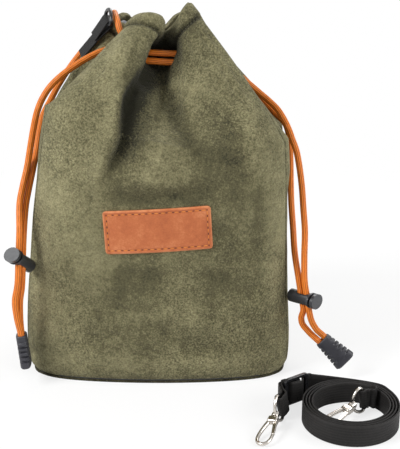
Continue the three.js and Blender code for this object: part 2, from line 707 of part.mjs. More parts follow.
function hookFrame(origin, aim, roll) {
  const flat = sqrt(hookLong ** 2 - hookDrop ** 2);
  const line = aim.clone().setLength(flat).add(V(0, 0, -hookDrop)).normalize();
  const upright = V(roll, 0, 1);
  return frameAt(origin, line, upright.addScaledVector(line, -upright.dot(line)));
}
const outerFrame = hookFrame(outerBar, outerAim, -0.16);
const innerFrame = hookFrame(innerBar, innerAim, 0);

function strap() {
  const fromSlider = ([s, n]) => [
    sliderCentre[0] + s * sliderLine[0] - n * sliderLine[1],
    sliderCentre[1] + s * sliderLine[1] + n * sliderLine[0],
  ];
  const sewnLoop = [[9, -5.05], [6.5, -5], [4.4, -4.2], [3, -3], [1.8, -2.1], [0, -2], [-1.7, -1.8], [-2.3, -0.8],
    [-2.3, 0.8], [-1.7, 1.8], [0, 2], [1.8, 2], [3, 1.1], [4.5, -1], [5.6, -2.7], [7.2, -3.5], [9, -3.6]];
  const through = [[9, -2.15], [8.2, -2.15], [6.9, -1.9], [5.6, 0.2], [3.9, 2.5], [2, 3.3], [0, 3.45], [-2, 3.3],
    [-3.9, 2.5], [-5.6, 0.2], [-6.9, -1.9], [-8.2, -2.15], [-10.5, -2.15], [-14, -2.1]];
  const middle = [[10.6, -2.85], [12.2, -2.4], [13.2, -0.9], [13.9, 1.4], [14.8, 4.4], [16.1, 7.8]].map(fromSlider);
  const outerLegs = roundBar([...middle, [outerBar.x, outerBar.y]], 1.45, eyeWire);

  const points = [];
  const ups = [];
  const add3 = (plan, height, up) => {
    for (const [x, y] of plan) {
      points.push(V(x, y, height));
      ups.push(up);
    }
  };
  const upright = V(0, 0, 1);
  const tiltOf = (frame) => V(0, 0, 1).transformDirection(frame);
  add3(sewnLoop.map(fromSlider), liftedHeight, upright);
  outerLegs.forEach(([x, y]) => {
    const near = 1 - min(Math.hypot(x - outerBar.x, y - outerBar.y) / 16, 1);
    points.push(V(x, y, liftedHeight));
    ups.push(upright.clone().lerp(tiltOf(outerFrame), min(near * 1.6, 1)));
  });
  add3(through.map(fromSlider), liftedHeight, upright);
  points[points.length - 1].z -= strapLift / 3;

  // Coil: from the far side, clockwise seen from above, winding inwards
  const stepsPerTurn = 24;
  const total = round(coilTurns * stepsPerTurn);
  for (let i = -3; i <= total; i++) {
    const turn = (2 * PI * i) / stepsPerTurn + PI / 2;
    const spread = i < 0 ? 0.13 * i ** 2 : 0;
    const radius = coilRadius - (coilPitch * i) / stepsPerTurn + spread;
    const rise = strapLift * max(0, (i - total + 4) / 4) * 0.5;
    points.push(V(coilCentre[0] + radius * sin(turn), coilCentre[1] + radius * cos(turn), restHeight + rise));
    ups.push(upright);
  }

  // Hairpin at the inner end and the sewn loop round the inner hook's eye
  const last = points[points.length - 1];
  const hairpin = [[last.x + 1.9, last.y - 2.4], [last.x + 2.1, last.y - 4.4], [last.x + 0.6, last.y - 5.8]];
  add3(hairpin, liftedHeight, upright);
  const inward = [last.x - innerBar.x, last.y - 5 - innerBar.y];
  const legs = [0.62, 0.36, 0.18, 0].map((t) => [innerBar.x + t * inward[0], innerBar.y + t * inward[1]]);
  roundBar(legs, webThick + gap, eyeWire).forEach(([x, y]) => {
    points.push(V(x, y, liftedHeight));
    ups.push(tiltOf(innerFrame));
  });
  return ribbon(points, ups, webWide, webThick);
}
add('strap_webbing', strap(), black, 0.85);

function slider() {
  const hole = (from) => [[from, -webWide / 2 - 0.4], [from + sliderSlot, -webWide / 2 - 0.4],
    [from + sliderSlot, webWide / 2 + 0.4], [from, webWide / 2 + 0.4]];
  const holes = [sliderBar / 2, -sliderBar / 2 - sliderSlot].map((from) => plate(hole(from), sliderThick * 2));
  const frame = cut(plate(roundedBox(sliderLong, sliderTall, 3.2), sliderThick), ...holes);
  const line = V(sliderLine[0], sliderLine[1], 0);
  const normal = V(-sliderLine[1], sliderLine[0], 0);
  return frame.applyMatrix4(frameAt(V(sliderCentre[0], sliderCentre[1], liftedHeight), line, normal));
}
add('strap_slider', slider(), black, 0.4);

// Swivel snap hook. Local X runs from the eye's bar to the hook's tip and Z along the bar.
const bossFrom = 8.4;
const bossTo = 11.6;
const blockFrom = bossTo + gap;
const blockTo = blockFrom + 5.1;
const pinAt = [15.4, 2.2];
const noseAt = 27.6;
function hookEye() {
  const ring = dRing(eyeBar, eyeReach, eyeWire, 26);
  const boss = turned([[bossFrom, 0], [bossFrom, 2.7], [bossTo, 2.7], [bossTo, 0]], 12);
  const bore = turned([[bossFrom - 2, 0], [bossFrom - 2, 1.35], [bossTo + 1, 1.35], [bossTo + 1, 0]], 12);
  return cut(join(ring, boss), bore);
}
function hookRivet() {
  const [head, neck, end] = [bossFrom - gap - 1, bossFrom - gap, blockFrom + 2.4];
  return turned([[head, 0], [head, 2.1], [neck, 2.1], [neck, 1.05], [end, 1.05], [end, 0]], 12);
}
function hookBody() {
  const path = [[14.6, -2], [17.5, -2.6], [22, -3.6], [28, -4.4], [32.5, -4.3], [35.6, -2.9], [36.8, 0],
    [35.6, 2.9], [32.8, 4.3], [30, 4.6], [noseAt, 4.5]].map(([x, y]) => V(x, y, 0));
  const block = plate(roundedBox(blockTo - blockFrom, 7, 1.2, 2), 4.6).translate((blockFrom + blockTo) / 2, 0.1, 0);
  const bore = turned([[blockFrom - 1, 0], [blockFrom - 1, 1.35], [blockFrom + 2.7, 1.35], [blockFrom + 2.7, 0]], 12);
  const notch = plate([[13, 0.6], [18, 0.6], [18, 6], [13, 6]], gateThick + 2 * gap);
  const pinHole = turned([[-5, 0], [-5, pinRadius + 0.25], [5, pinRadius + 0.25], [5, 0]], 8);
  pinHole.rotateY(PI / 2).translate(pinAt[0], pinAt[1], 0);
  return cut(join(block, bar(path, hookWire, 8, 2.4)), bore, notch, pinHole);
}
function hookGate() {
  const outline = [];
  for (let i = 0; i <= 6; i++) {
    const turn = PI / 2 + (PI * i) / 6;
    outline.push([pinAt[0] + 1.4 * cos(turn), pinAt[1] + 1.4 * sin(turn)]);
  }
  outline.push([20, 1.9], [noseAt - gap, 3.6], [noseAt - gap, 5.5], [20, 4.2]);
  const hole = [];
  for (let i = 0; i < 8; i++) hole.push([pinAt[0] + 0.95 * cos((PI * i) / 4), pinAt[1] + 0.95 * sin((PI * i) / 4)]);
  return cut(plate(outline, gateThick), plate(hole, gateThick * 2));
}
function gatePin() {
  const pin = turned([[-2.2, 0], [-2.2, pinRadius], [2.2, pinRadius], [2.2, 0]], 8);
  return pin.rotateY(PI / 2).translate(pinAt[0], pinAt[1], 0);
}
for (const [mark, frame] of [['outer', outerFrame], ['inner', innerFrame]]) {
  const place = (name, geometry) => add(`${mark}_hook_${name}`, geometry.applyMatrix4(frame), nickel, 0.3, 1);
  place('eye', hookEye());
  place('rivet', hookRivet());
  place('body', hookBody());
  place('gate', hookGate());
  place('gate_pin', gatePin());
}

export default group;
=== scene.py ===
import functools
import math

import bmesh
import bpy
from mathutils import Matrix, Vector, noise


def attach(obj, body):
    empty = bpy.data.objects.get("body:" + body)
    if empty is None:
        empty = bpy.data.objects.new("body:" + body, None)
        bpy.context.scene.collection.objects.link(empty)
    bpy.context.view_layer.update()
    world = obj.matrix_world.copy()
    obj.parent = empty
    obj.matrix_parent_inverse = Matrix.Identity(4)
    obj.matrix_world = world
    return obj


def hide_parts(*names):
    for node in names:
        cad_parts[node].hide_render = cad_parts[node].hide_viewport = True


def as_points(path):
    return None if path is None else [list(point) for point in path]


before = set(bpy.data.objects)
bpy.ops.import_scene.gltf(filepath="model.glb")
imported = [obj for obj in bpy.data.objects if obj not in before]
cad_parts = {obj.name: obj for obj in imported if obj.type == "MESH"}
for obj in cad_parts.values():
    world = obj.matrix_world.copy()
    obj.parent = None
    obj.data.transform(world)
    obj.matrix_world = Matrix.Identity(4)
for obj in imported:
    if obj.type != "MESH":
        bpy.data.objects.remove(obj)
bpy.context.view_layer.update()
print("frame loaded")

# Camera

camera = {"place": (0.028, -0.70085, 0.34466), "aim": (0.028, -0.041, 0.111), "lens": 80.18}


def addCamera():
    data = bpy.data.cameras.new("camera")
    data.lens = camera["lens"]
    data.sensor_width = 36
    data.clip_start = 0.01
    seen = bpy.data.objects.new("camera", data)
    bpy.context.scene.collection.objects.link(seen)
    seen.location = camera["place"]
    look = Vector(camera["aim"]) - Vector(camera["place"])
    seen.rotation_euler = look.to_track_quat("-Z", "Y").to_euler()
    bpy.context.scene.camera = seen


addCamera()


# Curves and shapes that several pieces use

def hermite(t0, t1, p0, p1, m0, m1, at):
    h = t1 - t0
    t = min(max((at - t0) / h, 0), 1)
    a, b, c = 2 * t**3 - 3 * t**2 + 1, t**3 - 2 * t**2 + t, -2 * t**3 + 3 * t**2
    return a * p0 + b * h * m0 + c * p1 + (t**3 - t**2) * h * m1


def along(pairs, at):
    # Smooth curve through (position, value) pairs
    i = 0
    while i < len(pairs) - 2 and at > pairs[i + 1][0]:
        i += 1

    def slope(j):
        a, b = pairs[max(j - 1, 0)], pairs[min(j + 1, len(pairs) - 1)]
        return (b[1] - a[1]) / (b[0] - a[0])

    return hermite(pairs[i][0], pairs[i + 1][0], pairs[i][1], pairs[i + 1][1], slope(i), slope(i + 1), at)


def smoothstep(low, high, at):
    t = min(max((at - low) / (high - low), 0), 1)
    return t * t * (3 - 2 * t)


def lengthOf(line):
    return sum((b - a).length for a, b in zip(line, line[1:]))


def smoothLine(points, spacing, closed=False):
    # Centripetal curve through the points, resampled at even spacing
    n = len(points)
    cuts = 16
    fine = []
    for i in range(n if closed else n - 1):
        p1, p2 = points[i], points[(i + 1) % n]
        p0 = points[i - 1] if closed or i else p1 * 2 - p2
        p3 = points[(i + 2) % n] if closed or i < n - 2 else p2 * 2 - p1
        d0, d1, d2 = ((a - b).length ** 0.5 for a, b in ((p1, p0), (p2, p1), (p3, p2)))
        m1 = ((p1 - p0) / d0 - (p2 - p0) / (d0 + d1) + (p2 - p1) / d1) * d1
        m2 = ((p2 - p1) / d1 - (p3 - p1) / (d1 + d2) + (p3 - p2) / d2) * d1
        fine += [hermite(0, 1, p1, p2, m1, m2, k / cuts) for k in range(cuts)]
    fine.append(points[0] if closed else points[-1])
    reach = [0]
    for a, b in zip(fine, fine[1:]):
        reach.append(reach[-1] + (b - a).length)
    steps = max(round(reach[-1] / spacing), 2)
    line, j = [], 0
    for k in range(steps + 1):
        goal = reach[-1] * k / steps
        while j < len(fine) - 2 and reach[j + 1] < goal:
            j += 1
        share = (goal - reach[j]) / max(reach[j + 1] - reach[j], 1e-12)
        line.append(fine[j].lerp(fine[j + 1], min(share, 1)))
    return line


def facesOf(verts):
    return {face for vert in verts for face in vert.link_faces}


def edgesOf(verts):
    return {edge for vert in verts for edge in vert.link_edges}


def rimEdges(verts):
    return [edge for edge in edgesOf(verts) if edge.is_boundary]


def sheetOf(bm, columns, rows, place, uvScale=(1, 1), shadingAndNap=None):
    # A grid whose vertices are moved to place(s, t), with s across and t along
    uvLayer = bm.loops.layers.uv.verify()
    shadingAndNapLayer = shadingAndNap and bm.verts.layers.float.new("shadingAndNap")
    verts = bmesh.ops.create_grid(bm, x_segments=columns, y_segments=rows, size=1)["verts"]
    for face in facesOf(verts):
        for loop in face.loops:
            s, t = (loop.vert.co.x + 1) / 2, (loop.vert.co.y + 1) / 2
            loop[uvLayer].uv = (s * uvScale[0], t * uvScale[1])
    for vert in verts:
        s, t = (vert.co.x + 1) / 2, (vert.co.y + 1) / 2
        vert.co = place(s, t)
        if shadingAndNap:
            vert[shadingAndNapLayer] = shadingAndNap(s, t)
    return verts


def shellOf(bm, columns, rows, outside, inside, shadingAndNap):
    # Two sheets that face away from each other, joined round their rims
    outer = sheetOf(bm, columns, rows, outside, shadingAndNap=shadingAndNap)
    inner = sheetOf(bm, columns, rows, inside)
    bmesh.ops.reverse_faces(bm, faces=list(facesOf(inner)))
    bmesh.ops.bridge_loops(bm, edges=rimEdges(outer) + rimEdges(inner))
    bmesh.ops.recalc_face_normals(bm, faces=bm.faces)


def mended(bm, verts):
    # Merges the vertices that meet, and gives back those that are left
    bmesh.ops.remove_doubles(bm, verts=verts, dist=1e-7)
    return [vert for vert in verts if vert.is_valid]


def capped(bm, verts):
    return bmesh.ops.holes_fill(bm, edges=rimEdges(verts), sides=0)["faces"]


def finished(name, bm, body, finish, smooth=180):
    mesh = bpy.data.meshes.new(name)
    bm.normal_update()
    bm.to_mesh(mesh)
    bm.free()
    piece = bpy.data.objects.new(name, mesh)
    bpy.context.scene.collection.objects.link(piece)
    mesh.materials.append(finish)
    mesh.polygons.foreach_set("use_smooth", [True] * len(mesh.polygons))
    if smooth < 180:
        mesh.set_sharp_from_angle(angle=math.radians(smooth))
    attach(piece, body)
    return piece


def softEdges(piece, width, segments, angle=40):
    bevel = piece.modifiers.new("soft edges", "BEVEL")
    bevel.width = width
    bevel.segments = segments
    bevel.limit_method = "ANGLE"
    bevel.angle_limit = math.radians(angle)


def tubeOf(bm, line, radius, sides, closed=False):
    # A round bar along a line, its seam and ends closed
    steps = len(line) - 1
    tangents = []
    for i, p in enumerate(line):
        a = line[i - 1] if i else (line[-2] if closed else p)
        b = line[i + 1] if i < steps else (line[1] if closed else p)
        tangents.append((b - a).normalized())
    side = tangents[0].orthogonal().normalized()
    frames = []
    for tangent in tangents:
        side = (side - tangent * side.dot(tangent)).normalized()
        frames.append((side, tangent.cross(side)))
    twist = 0
    if closed:
        back, start = frames[-1][0], frames[0]
        twist = -math.atan2(back.dot(start[1]), back.dot(start[0]))

    def place(s, t):
        i = round(t * steps)
        turn = 2 * math.pi * s + twist * t
        size = radius(t) if callable(radius) else radius
        return line[i] + (frames[i][0] * math.cos(turn) + frames[i][1] * math.sin(turn)) * size

    verts = mended(bm, sheetOf(bm, sides, steps, place, (1, lengthOf(line))))
    if not closed:
        capped(bm, verts)


def frameAt(origin, x, z):
    ex = x.normalized()
    ey = z.cross(ex).normalized()
    ez = ex.cross(ey)
    return Matrix.Translation(origin) @ Matrix((ex, ey, ez)).transposed().to_4x4()


# Node helpers

def joined(tree, kind, inputs=(), **settings):
    node = tree.nodes.new(kind)
    for key, value in settings.items():
        setattr(node, key, value)
    for key, value in dict(inputs).items():
        if isinstance(value, bpy.types.NodeSocket):
            tree.links.new(value, node.inputs[key])
        else:
            node.inputs[key].default_value = value
    return node


def reckon(tree, operation, *values):
    return joined(tree, "ShaderNodeMath", dict(enumerate(values)), operation=operation).outputs[0]


def noiseOf(tree, vector, scale, detail=3, rough=0.5, warp=0):
    inputs = {"Vector": vector, "Scale": scale, "Detail": detail, "Roughness": rough, "Distortion": warp}
    return joined(tree, "ShaderNodeTexNoise", inputs).outputs["Fac"]


def spread(tree, value, low, high, toLow=0.0, toHigh=1.0):
    inputs = {"Value": value, "From Min": low, "From Max": high, "To Min": toLow, "To Max": toHigh}
    return joined(tree, "ShaderNodeMapRange", inputs).outputs["Result"]


def blendColour(tree, share, first, second, way="MIX"):
    # Each end is a socket, or the red, green and blue of a fixed colour
    ends = [(*end, 1) if isinstance(end, tuple) else end for end in (first, second)]
    settings = {"data_type": "RGBA", "blend_type": way}
    return joined(tree, "ShaderNodeMix", {0: share, 6: ends[0], 7: ends[1]}, **settings).outputs[2]


def addedUp(tree, start, *parts):
    total = start
    for value, share in parts:
        inputs = {0: value, 1: share, 2: total}
        total = joined(tree, "ShaderNodeMath", inputs, operation="MULTIPLY_ADD").outputs[0]
    return total


def partsOf(tree, vector):
    return joined(tree, "ShaderNodeSeparateXYZ", {0: vector}).outputs


def surfaceOf(tree, label):
    return joined(tree, "ShaderNodeNewGeometry").outputs[label]


def cellsOf(tree, vector, scale):
    return joined(tree, "ShaderNodeTexVoronoi", {"Vector": vector, "Scale": scale}).outputs["Distance"]


def shadingAndNapOf(tree):
    # What sheetOf stored: painted shade below zero in the folds and grooves, painted light above zero on ridges
    # and edges, with the nap's own lighter and darker areas
    return joined(tree, "ShaderNodeAttribute", attribute_name="shadingAndNap").outputs["Fac"]


def newGroup(name, inputs, outputs):
    # Each input has its default, and one without is a vector; all else is a plain number
    tree = bpy.data.node_groups.new(name, "ShaderNodeTree")
    for label, value in inputs.items():
        kind = "NodeSocketVector" if value is None else "NodeSocketFloat"
        socket = tree.interface.new_socket(label, in_out="INPUT", socket_type=kind)
        if value is not None:
            socket.default_value = value
    for label in outputs:
        tree.interface.new_socket(label, in_out="OUTPUT", socket_type="NodeSocketFloat")
    return tree, tree.nodes.new("NodeGroupInput").outputs, tree.nodes.new("NodeGroupOutput").inputs


def placed(tree, group, **inputs):
    return joined(tree, "ShaderNodeGroup", inputs, node_tree=group).outputs


def makeWeave():
    # Two sets of yarns that go over and under each other
    tree, given, out = newGroup("weave", {"Across": 0, "Along": 0}, ["Height"])
    first = reckon(tree, "SINE", reckon(tree, "MULTIPLY", reckon(tree, "FRACT", given["Across"]), math.pi))
    second = reckon(tree, "SINE", reckon(tree, "MULTIPLY", reckon(tree, "FRACT", given["Along"]), math.pi))
    steps = reckon(tree, "ADD", reckon(tree, "FLOOR", given["Across"]), reckon(tree, "FLOOR", given["Along"]))
    over = reckon(tree, "FLOORED_MODULO", steps, 2.0)
    tall = reckon(tree, "MULTIPLY", first, reckon(tree, "ADD", reckon(tree, "MULTIPLY", second, 0.5), 0.5))
    wide = reckon(tree, "MULTIPLY", second, reckon(tree, "ADD", reckon(tree, "MULTIPLY", first, 0.5), 0.5))
    height = joined(tree, "ShaderNodeMix", {0: over, 2: tall, 3: wide}, data_type="FLOAT").outputs[0]
    tree.links.new(height, out["Height"])
    return tree


def makeMottle():
    # Blotches, patches, clumps and fine speckle of a napped or grained surface, each about zero
    inputs = {"Vector": None, "Blotch": 26, "Speckle": 900}
    tree, given, out = newGroup("mottle", inputs, ["Blotches", "Patches", "Clumps", "Speckles"])
    patterns = {  # scale, detail, roughness and warp
        "Blotches": (given["Blotch"], 4, 0.6, 0.9),
        "Patches": (reckon(tree, "MULTIPLY", given["Blotch"], 4.3), 4, 0.6, 0.5),
        "Clumps": (reckon(tree, "MULTIPLY", given["Speckle"], 0.36), 3, 0.6, 0.3),
        "Speckles": (given["Speckle"], 3, 0.75, 0),
    }
    for name, pattern in patterns.items():
        tree.links.new(spread(tree, noiseOf(tree, given["Vector"], *pattern), 0.3, 0.7, -0.5, 0.5), out[name])
    return tree


def makeWear():
    # Smudges from handling and a little dust on upward faces
    tree, given, out = newGroup("wear", {"Vector": None, "Size": 120}, ["Smudge", "Dust", "Grain"])
    smudge = noiseOf(tree, given["Vector"], given["Size"], 5, 0.6, 0.6)
    grain = noiseOf(tree, given["Vector"], reckon(tree, "MULTIPLY", given["Size"], 22.0), 2, 0.6)
    upward = spread(tree, partsOf(tree, surfaceOf(tree, "Normal"))[2], 0.3, 1)
    tree.links.new(spread(tree, smudge, 0.3, 0.7), out["Smudge"])
    tree.links.new(reckon(tree, "MULTIPLY", upward, spread(tree, smudge, 0.45, 0.75)), out["Dust"])
    tree.links.new(grain, out["Grain"])
    return tree


weave, mottle, wear = makeWeave(), makeMottle(), makeWear()


def startFinish(name, **fixed):
    finish = bpy.data.materials.new(name)
    finish.use_nodes = True
    tree = finish.node_tree
    for key, value in fixed.items():
        tree.nodes["Principled BSDF"].inputs[key.replace("_", " ")].default_value = value
    return finish, tree, tree.nodes.new("ShaderNodeTexCoord").outputs


def painted(finish, colour, rough, height, depth):
    tree = finish.node_tree
    shader = tree.nodes["Principled BSDF"].inputs
    bump = joined(tree, "ShaderNodeBump", {"Height": height, "Distance": depth, "Strength": 1.0})
    tree.links.new(colour, shader["Base Color"])
    tree.links.new(rough, shader["Roughness"])
    tree.links.new(bump.outputs["Normal"], shader["Normal"])
    return finish


suede = {
    "deep": (0.022, 0.021, 0.012), "middle": (0.14, 0.128, 0.066), "pale": (0.39, 0.36, 0.2),
    "blotch": 26.0, "speckle": 820.0, "ruffle": 11, "fibre": 3200, "nap": 0.0005,
}


def suedeFinish(name="suede", shade=1.0):
    finish, tree, spots = startFinish(name, Sheen_Weight=0.06, Sheen_Roughness=0.5, Specular_IOR_Level=0.12)
    nap = placed(tree, mottle, Vector=spots["Object"], Blotch=suede["blotch"], Speckle=suede["speckle"])
    fibre = noiseOf(tree, spots["Object"], suede["fibre"], 2, 0.6)
    strength = spread(tree, noiseOf(tree, spots["Object"], suede["ruffle"], 2), 0.35, 0.65, 0.55, 1.45)
    ruffled = reckon(tree, "MULTIPLY", nap["Speckles"], strength)
    marks = [(nap["Blotches"], 0.17), (nap["Patches"], 0.16), (nap["Clumps"], 0.14)]
    # The stored painted shade and light darken the folds and grooves and lighten the ridges
    level = addedUp(tree, 0.42, *marks, (ruffled, 0.52), (fibre, 0.16), (shadingAndNapOf(tree), 0.5))
    low = blendColour(tree, spread(tree, level, 0.0, 0.5), suede["deep"], suede["middle"])
    colour = blendColour(tree, spread(tree, level, 0.45, 1.0), low, suede["pale"])
    # A darker copy of the suede: painted shade, used for the base
    if shade != 1.0:
        colour = blendColour(tree, 1.0, colour, (shade, shade, shade), "MULTIPLY")
    rough = spread(tree, nap["Patches"], -0.5, 0.5, 0.82, 0.98)
    height = addedUp(tree, nap["Speckles"], (nap["Clumps"], 1.5), (fibre, 0.4))
    return painted(finish, colour, rough, height, suede["nap"])


def liningFinish():
    finish, tree, spots = startFinish("lining", Sheen_Weight=0.3, Specular_IOR_Level=0.2)
    nap = placed(tree, mottle, Vector=spots["Object"], Blotch=60.0, Speckle=1800.0)
    level = addedUp(tree, 0.5, (nap["Patches"], 0.5), (nap["Speckles"], 0.6))
    colour = blendColour(tree, level, (0.4, 0.41, 0.43), (0.66, 0.67, 0.7))
    rough = spread(tree, nap["Patches"], -0.5, 0.5, 0.75, 0.95)
    return painted(finish, colour, rough, nap["Speckles"], 0.0002)


def leatherFinish():
    finish, tree, spots = startFinish("leather", Specular_IOR_Level=0.35, Coat_Weight=0.06, Coat_Roughness=0.4)
    hide = placed(tree, mottle, Vector=spots["Object"], Blotch=40.0, Speckle=900.0)
    pores = cellsOf(tree, spots["Object"], 1500.0)
    marks = [(hide["Blotches"], 0.35), (hide["Patches"], 0.25), (hide["Speckles"], 0.25)]
    # The stored painted highlight lightens the patch's rounded edge and painted shade darkens its groove
    level = addedUp(tree, 0.5, *marks, (shadingAndNapOf(tree), 1.0))
    low = blendColour(tree, spread(tree, level, 0, 0.5), (0.27, 0.058, 0.015), (0.44, 0.122, 0.038))
    colour = blendColour(tree, spread(tree, level, 0.5, 1), low, (0.64, 0.25, 0.105))
    rough = spread(tree, hide["Patches"], -0.5, 0.5, 0.4, 0.58)
    return painted(finish, colour, rough, addedUp(tree, pores, (hide["Clumps"], 0.8)), 0.00012)


def cordFinish():
    # Sheath of fine yarns that run lengthwise: UV is turns round the cord in X, metres along it in Y
    finish, tree, spots = startFinish("drawcord", Specular_IOR_Level=0.45)
    uv = partsOf(tree, spots["UV"])
    turn = reckon(tree, "MULTIPLY", uv[0], 12.0)
    run = reckon(tree, "MULTIPLY", uv[1], 130.0)
    rising, falling = reckon(tree, "ADD", turn, run), reckon(tree, "SUBTRACT", turn, run)
    braid = placed(tree, weave, Across=rising, Along=falling)
    ribs = reckon(tree, "ABSOLUTE", reckon(tree, "SINE", reckon(tree, "MULTIPLY", uv[0], math.pi * 10)))
    fuzz = noiseOf(tree, spots["Object"], 2600, 2, 0.6)
    tonal = noiseOf(tree, spots["Object"], 70, 3, 0.6)
    level = addedUp(tree, 0.0, (ribs, 0.62), (braid["Height"], 0.28), (fuzz, 0.25))
    colour = blendColour(tree, spread(tree, level, 0.15, 0.9), (0.18, 0.028, 0.002), (0.84, 0.225, 0.012))
    colour = blendColour(tree, spread(tree, tonal, 0.4, 0.8, 0, 0.3), colour, (0.5, 0.1, 0.01))
    return painted(finish, colour, spread(tree, fuzz, 0.3, 0.7, 0.38, 0.6), level, 0.0003)


def webbingFinish(name="webbing", dark=(0.0035, 0.0034, 0.0034), light=(0.026, 0.0235, 0.022)):
    # Ribbed satin webbing: UV runs across it in X and along it in Y, both in metres
    finish, tree, spots = startFinish(name, Specular_IOR_Level=0.25)
    uv = partsOf(tree, spots["UV"])
    across = reckon(tree, "MULTIPLY", uv[0], 1500.0)
    cloth = placed(tree, weave, Across=across, Along=reckon(tree, "MULTIPLY", uv[1], 1250.0))
    ribs = reckon(tree, "SINE", reckon(tree, "MULTIPLY", uv[0], 2 * math.pi * 520))
    selvedge = spread(tree, reckon(tree, "ABSOLUTE", uv[0]), 0.0061, 0.0066)
    fuzz = noiseOf(tree, spots["Object"], 1500, 3, 0.6)
    worn = noiseOf(tree, spots["Object"], 55, 4, 0.6, 0.4)
    level = addedUp(tree, 0.0, (cloth["Height"], 0.6), (ribs, 0.12), (fuzz, 0.3), (selvedge, 0.18))
    colour = blendColour(tree, spread(tree, level, 0.15, 1), dark, light)
    colour = blendColour(tree, spread(tree, worn, 0.45, 0.75, 0, 0.5), colour, light)
    return painted(finish, colour, spread(tree, level, 0, 1, 0.72, 0.42), level, 0.0002)


def mouldedFinish(name, dark, light, low, high, grain, coat):
    # Moulded plastic, rubber, coated wire and thread, each with its own tone, gloss and grain
    finish, tree, spots = startFinish(name, Specular_IOR_Level=0.5, Coat_Weight=coat, Coat_Roughness=0.25)
    used = placed(tree, wear, Vector=spots["Object"], Size=130.0)
    colour = blendColour(tree, used["Smudge"], dark, light)
    colour = blendColour(tree, reckon(tree, "MULTIPLY", used["Dust"], 0.12), colour, (0.3, 0.29, 0.27))
    return painted(finish, colour, spread(tree, used["Smudge"], 0, 1, low, high), used["Grain"], grain)


def nickelFinish(name, colour, low, high):
    finish, tree, spots = startFinish(name, Metallic=1.0)
    used = placed(tree, wear, Vector=spots["Object"], Size=160.0)
    dulled = blendColour(tree, used["Smudge"], colour, tuple(c * 0.82 for c in colour))
    return painted(finish, dulled, spread(tree, used["Smudge"], 0, 1, low, high), used["Grain"], 0.000012)


def foamFinish():
    finish, tree, spots = startFinish("foam")
    cells = cellsOf(tree, spots["Object"], 900.0)
    colour = blendColour(tree, spread(tree, cells, 0, 0.6), (0.56, 0.54, 0.48), (0.8, 0.78, 0.72))
    return painted(finish, colour, spread(tree, cells, 0, 0.6, 0.95, 0.8), cells, 0.0003)


finishes = {
    "suede": suedeFinish(),
    # The base cloth is the suede darkened to 0.3: painted shade along the pouch's underside
    "shadedBaseSuede": suedeFinish("shaded base suede", 0.3),
    "lining": liningFinish(),
    "leather": leatherFinish(),
    "drawcord": cordFinish(),
    "webbing": webbingFinish(),
    # The tabs get a darker copy of the webbing: partly their own black, partly painted shade where the light
    # falls on them
    "blackShadedTabWebbing": webbingFinish("black shaded tab webbing", (0.002, 0.002, 0.002), (0.009, 0.0085, 0.008)),
    "nickel": nickelFinish("nickel", (0.66, 0.62, 0.57), 0.16, 0.3),
    "spring": nickelFinish("spring steel", (0.5, 0.5, 0.51), 0.25, 0.4),
    "foam": foamFinish(),
}
# Name, dark and light tone, least and most roughness, depth of the grain and coat
moulded = {
    "lock": ("lock plastic", (0.013, 0.014, 0.017), (0.025, 0.027, 0.032), 0.3, 0.42, 0.00004, 0.15),
    "rubber": ("clip rubber", (0.019, 0.019, 0.025), (0.032, 0.032, 0.04), 0.42, 0.6, 0.00008, 0.0),
    "slider": ("black plastic", (0.006, 0.006, 0.007), (0.016, 0.016, 0.018), 0.22, 0.36, 0.00004, 0.3),
    "ring": ("coated wire", (0.002, 0.002, 0.003), (0.006, 0.006, 0.007), 0.2, 0.34, 0.00002, 0.1),
    "board": ("board", (0.02, 0.02, 0.02), (0.05, 0.05, 0.05), 0.7, 0.85, 0.0001, 0.0),
    "thread": ("patch thread", (0.52, 0.15, 0.02), (0.66, 0.24, 0.04), 0.5, 0.7, 0.00006, 0.0),
    # Stitch holes are dark beads: painted shade in the holes between stitches
    "hole": ("stitch hole shade", (0.11, 0.022, 0.008), (0.17, 0.036, 0.012), 0.6, 0.8, 0.00006, 0.0),
    "oliveThread": ("olive thread", (0.07, 0.065, 0.035), (0.12, 0.11, 0.06), 0.6, 0.8, 0.00006, 0.0),
}
finishes.update({key: mouldedFinish(*values) for key, values in moulded.items()})
print("finishes made")

# The pouch's outer surface, the same as the solid panels: four panels, levels 0 foot, 1 shoulder, 2 rim

